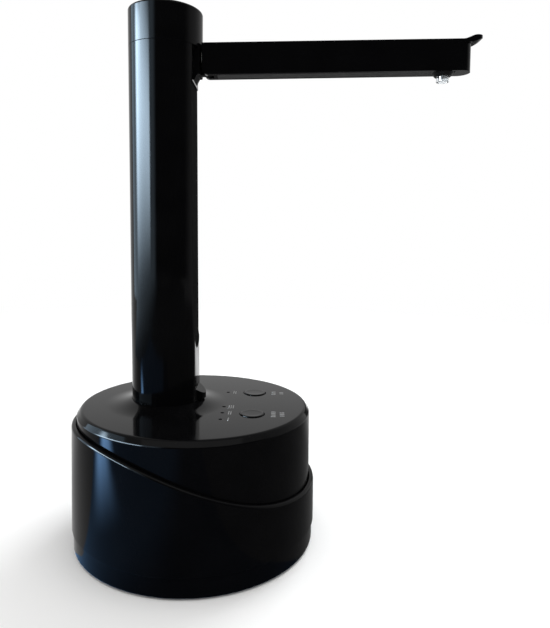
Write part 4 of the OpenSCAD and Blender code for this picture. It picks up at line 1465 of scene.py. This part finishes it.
    def hinge_hose(self) -> None:
        """Builds the soft hose at the hinge."""
        s, h = self.sizes, self.hinge
        axis, start, end = h.pivot_z + h.tube_up, h.x + h.bore + s.hose_root, h.pivot_x + s.hose_past
        runs = [Vector(((end - start) / s.hose_runs, 0.0, 0.0))] * s.hose_runs
        piece = Bench.pipe("hinge_hose_skin", Vector((start, 0.0, axis)), runs, s.tube - s.hose_gap)
        Bench.modify(piece, "SOLIDIFY", thickness=s.tube_wall - 2 * s.hose_gap, offset=-1.0)
        self.dress(piece, Finishes.CLEAR)
        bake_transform(piece)
        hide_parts("hinge_hose")
        LOG.info("piece %s bends between base and arm", piece.name)


@dataclass(frozen=True)
class KeySizes:
    """Sizes of a key in metres."""

    radius: float = 4.7 * MM
    rise: float = 0.4 * MM
    dish: float = 0.08 * MM
    dish_share: float = 0.55
    brow_share: float = 0.86
    dish_round: float = 6.0 * MM
    brow_round: float = 0.8 * MM
    edge_round: float = 0.45 * MM
    gap: float = 0.1 * MM
    flange: float = 5.8 * MM
    flange_thick: float = 1.0 * MM
    flange_round: float = 0.1 * MM
    stem: float = 1.55 * MM
    stem_low: float = 51.8 * MM


class KeyPair(Assembly):
    """The two round keys on the deck."""

    sizes = KeySizes()
    base = BaseSizes()

    def build(self) -> None:
        """Builds one key and sets a copy of it at each place."""
        blank, b = self.blank(), self.base
        for name, y, body, node in (("rear_key_top", b.key_y, Body.REAR_KEY, "rear_button"),
                                    ("front_key_top", -b.key_y, Body.FRONT_KEY, "front_button")):
            key = Bench.twin(blank, name, Vector((b.key_x, y, 0.0)))
            self.place(key, body, Finishes.GLOSS, [node])
        bpy.data.objects.remove(blank)

    def blank(self) -> Piece:
        """Models one slightly dished key with its hidden flange and stem.

        Returns:
            The key on the upright axis of the origin, to be copied.
        """
        k, b = self.sizes, self.base
        top, shelf = b.deck + k.rise, b.deck - b.deck_thick - k.gap
        under = shelf - k.flange_thick
        corners = [(0.0, top - k.dish, 0.0), (k.radius * k.dish_share, top - k.dish * 0.75, k.dish_round),
                   (k.radius * k.brow_share, top, k.brow_round), (k.radius, top, k.edge_round),
                   (k.radius, shelf, 0.0), (k.flange, shelf, k.flange_round),
                   (k.flange, under, k.flange_round), (k.stem, under, 0.0), (k.stem, k.stem_low, 0.0),
                   (0.0, k.stem_low, 0.0)]
        return Bench.lathe("key_blank", rounded(corners, 5), steps=96)


class InnerWorks(Assembly):
    """The CAD nodes that stay as they are and get a finish."""

    finishes: dict[str, Finish] = {
        f.slot: f for f in (Finishes.GLOSS, Finishes.SATIN, Finishes.PAD, Finishes.FOOT, Finishes.CLEAR,
                            Finishes.LAMP, Finishes.LENS, Finishes.BOARD, Finishes.WRAP, Finishes.STEEL,
                            Finishes.NICKEL, Finishes.BRASS, Finishes.MAGNET, Finishes.PUMP, Finishes.GEAR)}

    def build(self) -> None:
        """Paints every CAD node that still shows, by the slot that the record gives it."""
        slots = {part["node"]: part["material_slot"] for part in frame["record"]["subparts"]}
        for name, node in frame["nodes"].items():
            if node.hide_render:
                continue
            finish = self.finishes[slots[name]]
            node.data.materials.clear()
            node.data.materials.append(self.painter.material(finish))
            LOG.info("node %s finished in %s", name, finish.name)


@dataclass(frozen=True)
class View:
    """The camera that took the photograph, in metres, with its own axes."""

    place: Vector = Vector((31.203 * MM, -232.294 * MM, 126.504 * MM))
    right: Vector = Vector((0.999752, -0.00003, 0.022267))
    up: Vector = Vector((-0.022042, 0.140351, 0.989856))
    focal_px: float = 578.04
    long_side_px: float = 628.0
    sensor: float = 36.0
    clip: Point = (0.01, 20.0)


@dataclass(frozen=True)
class Light:
    """The light of a card that only reflections see.

    Attributes:
        colour: Colour of the light.
        strength: Strength where no fade reaches.
        fades: Axis, place where the light is out and place where it is full, for each fade.
        least: Strength that is left everywhere.
    """

    colour: Colour
    strength: float
    fades: tuple[Fade, ...]
    least: float = 0.0


class Studio:
    """Floor, backdrop, lamps, cards that the gloss mirrors, and camera."""

    view = View()
    heart: Vector = Vector((0.0, 0.0, 0.1))
    floor_size: float = 12.0
    floor_drop: float = 0.05 * MM
    floor_colour: Colour = (0.93, 0.93, 0.93)
    floor_rough: float = 0.9
    fade: Point = (0.32, 0.75)
    surround: float = 0.75
    curtain_radius: float = 1.3
    curtain_high: float = 1.1
    ceiling_high: float = 1.5
    window_x: float = -0.85
    window_high: float = 0.75
    window_glow: float = 120.0
    window_least: float = 6.0
    table_high: float = 0.3 * MM
    second_share: float = 0.1
    daylight: Colour = (0.63, 0.82, 1.0)
    sheen: Colour = (0.28, 0.55, 1.0)

    def build(self) -> None:
        """Sets up everything that isn't part of the object."""
        for step in (self.floor, self.world, self.lamps, self.curtains, self.ceiling, self.windows,
                     self.table, self.camera):
            step()

    @staticmethod
    def seen(wires: Wiring) -> Socket:
        """Adds a mask of the rays that show the backdrop: camera, glossy and transmission.

        Args:
            wires: Wiring of the tree.

        Returns:
            The socket with the mask.
        """
        path = wires.add("LightPath", {}).outputs
        mask = path["Is Camera Ray"]
        for label in ("Is Glossy Ray", "Is Transmission Ray"):
            mask = wires.add("Math", {0: mask, 1: path[label]}, operation="ADD", use_clamp=True).outputs[0]
        return mask

    def floor(self) -> None:
        """Lays a pale floor that keeps the soft shadow and turns into the white backdrop."""
        Bench.clear()
        bpy.ops.mesh.primitive_plane_add(size=self.floor_size, location=(0.0, 0.0, -self.floor_drop))
        plane = bpy.context.object
        plane.name = "studio_floor"
        paint = bpy.data.materials.new("floor_white")
        paint.use_nodes = True
        wires, nodes = Wiring(paint.node_tree), paint.node_tree.nodes
        colour, rough = (*self.floor_colour, 1.0), self.floor_rough
        feeds = {"Base Color": colour, "Roughness": rough, "Specular IOR Level": 0.0}
        pale = wires.feed(nodes["Principled BSDF"], feeds)
        place = wires.add("TexCoord", {}).outputs["Object"]
        reach = wires.add("VectorMath", {0: place}, operation="LENGTH").outputs["Value"]
        (near, far), white = self.fade, wires.add("Emission", {})
        share = wires.times(wires.ramp(reach, (near, 0.0), (far, 1.0), "SMOOTHSTEP"), self.seen(wires))
        mix = wires.add("MixShader", {"Fac": share, 1: pale.outputs[0], 2: white.outputs[0]})
        wires.feed(nodes["Material Output"], {"Surface": mix.outputs[0]})
        plane.data.materials.append(paint)

    def world(self) -> None:
        """Makes a white surround for the eye, and a soft even light for the rest."""
        world = bpy.data.worlds.new("studio_surround")
        bpy.context.scene.world = world
        world.use_nodes = True
        wires, nodes = Wiring(world.node_tree), world.node_tree.nodes
        soft = wires.feed(nodes["Background"], {"Color": (*WHITE, 1.0), "Strength": self.surround})
        white = wires.add("Background", {"Color": (*WHITE, 1.0), "Strength": 1.0})
        mix = wires.add("MixShader", {"Fac": self.seen(wires), 1: soft.outputs[0], 2: white.outputs[0]})
        wires.feed(nodes["World Output"], {"Surface": mix.outputs[0]})

    def lamp(self, name: str, place: Vector, size: float, power: float, colour: Colour) -> None:
        """Hangs one square soft box that faces the object and that nothing mirrors.

        Args:
            name: Name of the lamp.
            place: Its middle.
            size: Its width and height in metres.
            power: Power in watts.
            colour: Colour of its light.
        """
        data = bpy.data.lights.new(name, "AREA")
        data.shape = "RECTANGLE"
        data.size = data.size_y = size
        data.energy = power
        data.color = colour
        lamp = bpy.data.objects.new(name, data)
        bpy.context.scene.collection.objects.link(lamp)
        lamp.location = place
        lamp.rotation_euler = (self.heart - place).to_track_quat("-Z", "Y").to_euler()
        lamp.visible_camera = False
        lamp.visible_glossy = False

    def lamps(self) -> None:
        """Hangs a soft key lamp at the back right and a weak fill on top."""
        self.lamp("key_box", Vector((0.45, 0.65, 0.80)), 0.6, 6.0, (0.95, 0.98, 1.0))
        self.lamp("top_fill", Vector((0.1, -0.2, 1.2)), 1.0, 5.0, (1.0, 0.99, 0.97))

    def card(self, name: str, path: Sequence[Point], low: float, rise: Vector, light: Light) -> None:
        """Sets up a card that only reflections see.

        Args:
            name: Name of the card.
            path: X and Y of its first edge.
            low: Height of its first edge.
            rise: Way from its first edge to its last.
            light: Its light.
        """
        card = Bench.chain(name, [Vector((x, y, low)) for x, y in path])
        bpy.ops.mesh.select_all(action="SELECT")
        bpy.ops.mesh.extrude_region_move(TRANSFORM_OT_translate={"value": rise})
        bpy.ops.object.mode_set(mode="OBJECT")
        bpy.ops.object.transform_apply(location=True, rotation=True, scale=True)
        for rays in ("camera", "diffuse", "transmission", "volume_scatter", "shadow"):
            setattr(card, f"visible_{rays}", False)
        card.data.materials.append(self.glow(f"{name}_light", light))

    def glow(self, name: str, light: Light) -> bpy.types.Material:
        """Makes a light that fades along the axes and is weak in reflections of reflections.

        Args:
            name: Name of the material.
            light: The light to make.

        Returns:
            The material.
        """
        paint = bpy.data.materials.new(name)
        paint.use_nodes = True
        wires, nodes = Wiring(paint.node_tree), paint.node_tree.nodes
        nodes.remove(nodes["Principled BSDF"])
        place = wires.add("TexCoord", {}).outputs["Object"]
        axes = wires.add("SeparateXYZ", {"Vector": place}).outputs
        power: Feed = light.strength
        for axis, out, full in light.fades:
            power = wires.times(power, wires.ramp(axes[axis], (out, 0.0), (full, 1.0), "SMOOTHSTEP"))
        power = wires.add("Math", {0: power, 1: light.least}, operation="ADD").outputs[0]
        depth = wires.add("LightPath", {}).outputs["Ray Depth"]
        first = wires.ramp(depth, (1.0, 1.0), (2.0, self.second_share))
        lit = wires.add("Emission", {"Color": (*light.colour, 1.0), "Strength": wires.times(power, first)})
        wires.feed(nodes["Material Output"], {"Surface": lit.outputs[0]})
        return paint

    def curtains(self) -> None:
        """Hangs a dark curtain round the front, bluish on its left, and two pale ones on the right."""
        for name, start, end, light in (
                ("dark_curtain", -145.0, -25.0, Light(self.daylight, 6.0, (("X", -0.45, -0.70),), 0.01)),
                ("right_curtain", -25.0, 15.0, Light(WHITE, 1.0, (("Y", -0.55, 0.10),), 0.01)),
                ("dim_curtain", 55.0, 80.0, Light(WHITE, 0.7, (("Z", 0.22, 0.32),), 0.08))):
            path = arc((0.0, 0.0), self.curtain_radius, start, end, 40)
            self.card(name, path, 0.0, Vector((0.0, 0.0, self.curtain_high)), light)

    def ceiling(self) -> None:
        """Hangs a pale ceiling in front, which edges that lean up mirror."""
        light = Light(WHITE, 2.0, (("Y", -0.2, -0.5),))
        path = [(-1.2, -1.9), (-1.2, -0.4)]
        self.card("pale_ceiling", path, self.ceiling_high, Vector((2.4, 0.0, 0.0)), light)

    def windows(self) -> None:
        """Sets a bright bluish window on the left, lower at the side, which fades towards its edges."""
        edges = (("Z", 0.0, 0.36), ("Y", 0.12, -0.05), ("Y", -1.05, -0.85))
        for name, near, far, top in (("front_window", -1.05, -0.25, ("Z", 0.70, 0.35)),
                                     ("side_window", -0.25, 0.40, ("Z", 0.55, 0.46))):
            light = Light(self.daylight, self.window_glow, (*edges, top), self.window_least)
            path = [(self.window_x, near), (self.window_x, far)]
            self.card(name, path, 0.0, Vector((0.0, 0.0, self.window_high)), light)

    def table(self) -> None:
        """Lays dark table tops, for reflections alone: one mirrors a strip of the window."""
        strip = (("X", -0.06, -0.20), ("X", -0.35, -0.22), ("Y", -0.085, -0.062), ("Y", -0.028, -0.05))
        blue, day = self.sheen, self.daylight
        for name, (left, right), (near, far), light in (
                ("sheen", (-0.35, -0.045), (-0.35, -0.027), Light(blue, 30.0, strip, 1.0)),
                ("left", (-0.35, -0.045), (-0.027, 0.15), Light(WHITE, 0.45, (("Y", 0.02, 0.15),), 0.55)),
                ("far", (-0.84, -0.35), (-1.2, 0.15), Light(day, 5.0, (("X", -0.30, -0.85),), 0.3)),
                ("front", (-0.045, 0.045), (-0.35, 0.0), Light(blue, 0.85, (("X", 0.0, -0.045),), 0.15)),
                ("fore", (-0.35, 1.0), (-1.2, -0.35), Light(WHITE, 0.1, (("Y", -1.2, -0.35),), 0.1)),
                ("right", (0.045, 0.80), (-0.35, 0.22), Light(WHITE, 0.8, (("Y", 0.08, 0.22),), 0.2)),
                ("back", (-0.25, 0.80), (0.55, 1.90), Light(WHITE, 0.3, (("X", 0.08, 0.36),), 0.08))):
            path = [(left, near), (left, far)]
            self.card(f"table_{name}", path, self.table_high, Vector((right - left, 0.0, 0.0)), light)

    def camera(self) -> None:
        """Sets the camera where the photograph was taken from."""
        v = self.view
        data = bpy.data.cameras.new("photo_camera")
        data.sensor_width = v.sensor
        data.lens = v.focal_px * v.sensor / v.long_side_px
        data.clip_start, data.clip_end = v.clip
        eye = bpy.data.objects.new("photo_camera", data)
        bpy.context.scene.collection.objects.link(eye)
        back = v.right.cross(v.up)
        eye.matrix_world = Matrix.Translation(v.place) @ Matrix((v.right, v.up, back)).transposed().to_4x4()
        bpy.context.scene.camera = eye


def main() -> None:
    """Builds the pump's pieces, then the studio."""
    logging.basicConfig(level=logging.INFO, format="%(name)s: %(message)s")
    painter = Painter()
    for assembly in (BaseShell, Column, SpoutArm, KeyPair, InnerWorks):
        assembly(painter).build()
    Studio().build()
    bpy.context.scene.view_settings.view_transform = "Standard"


if __name__ == "__main__":
    main()
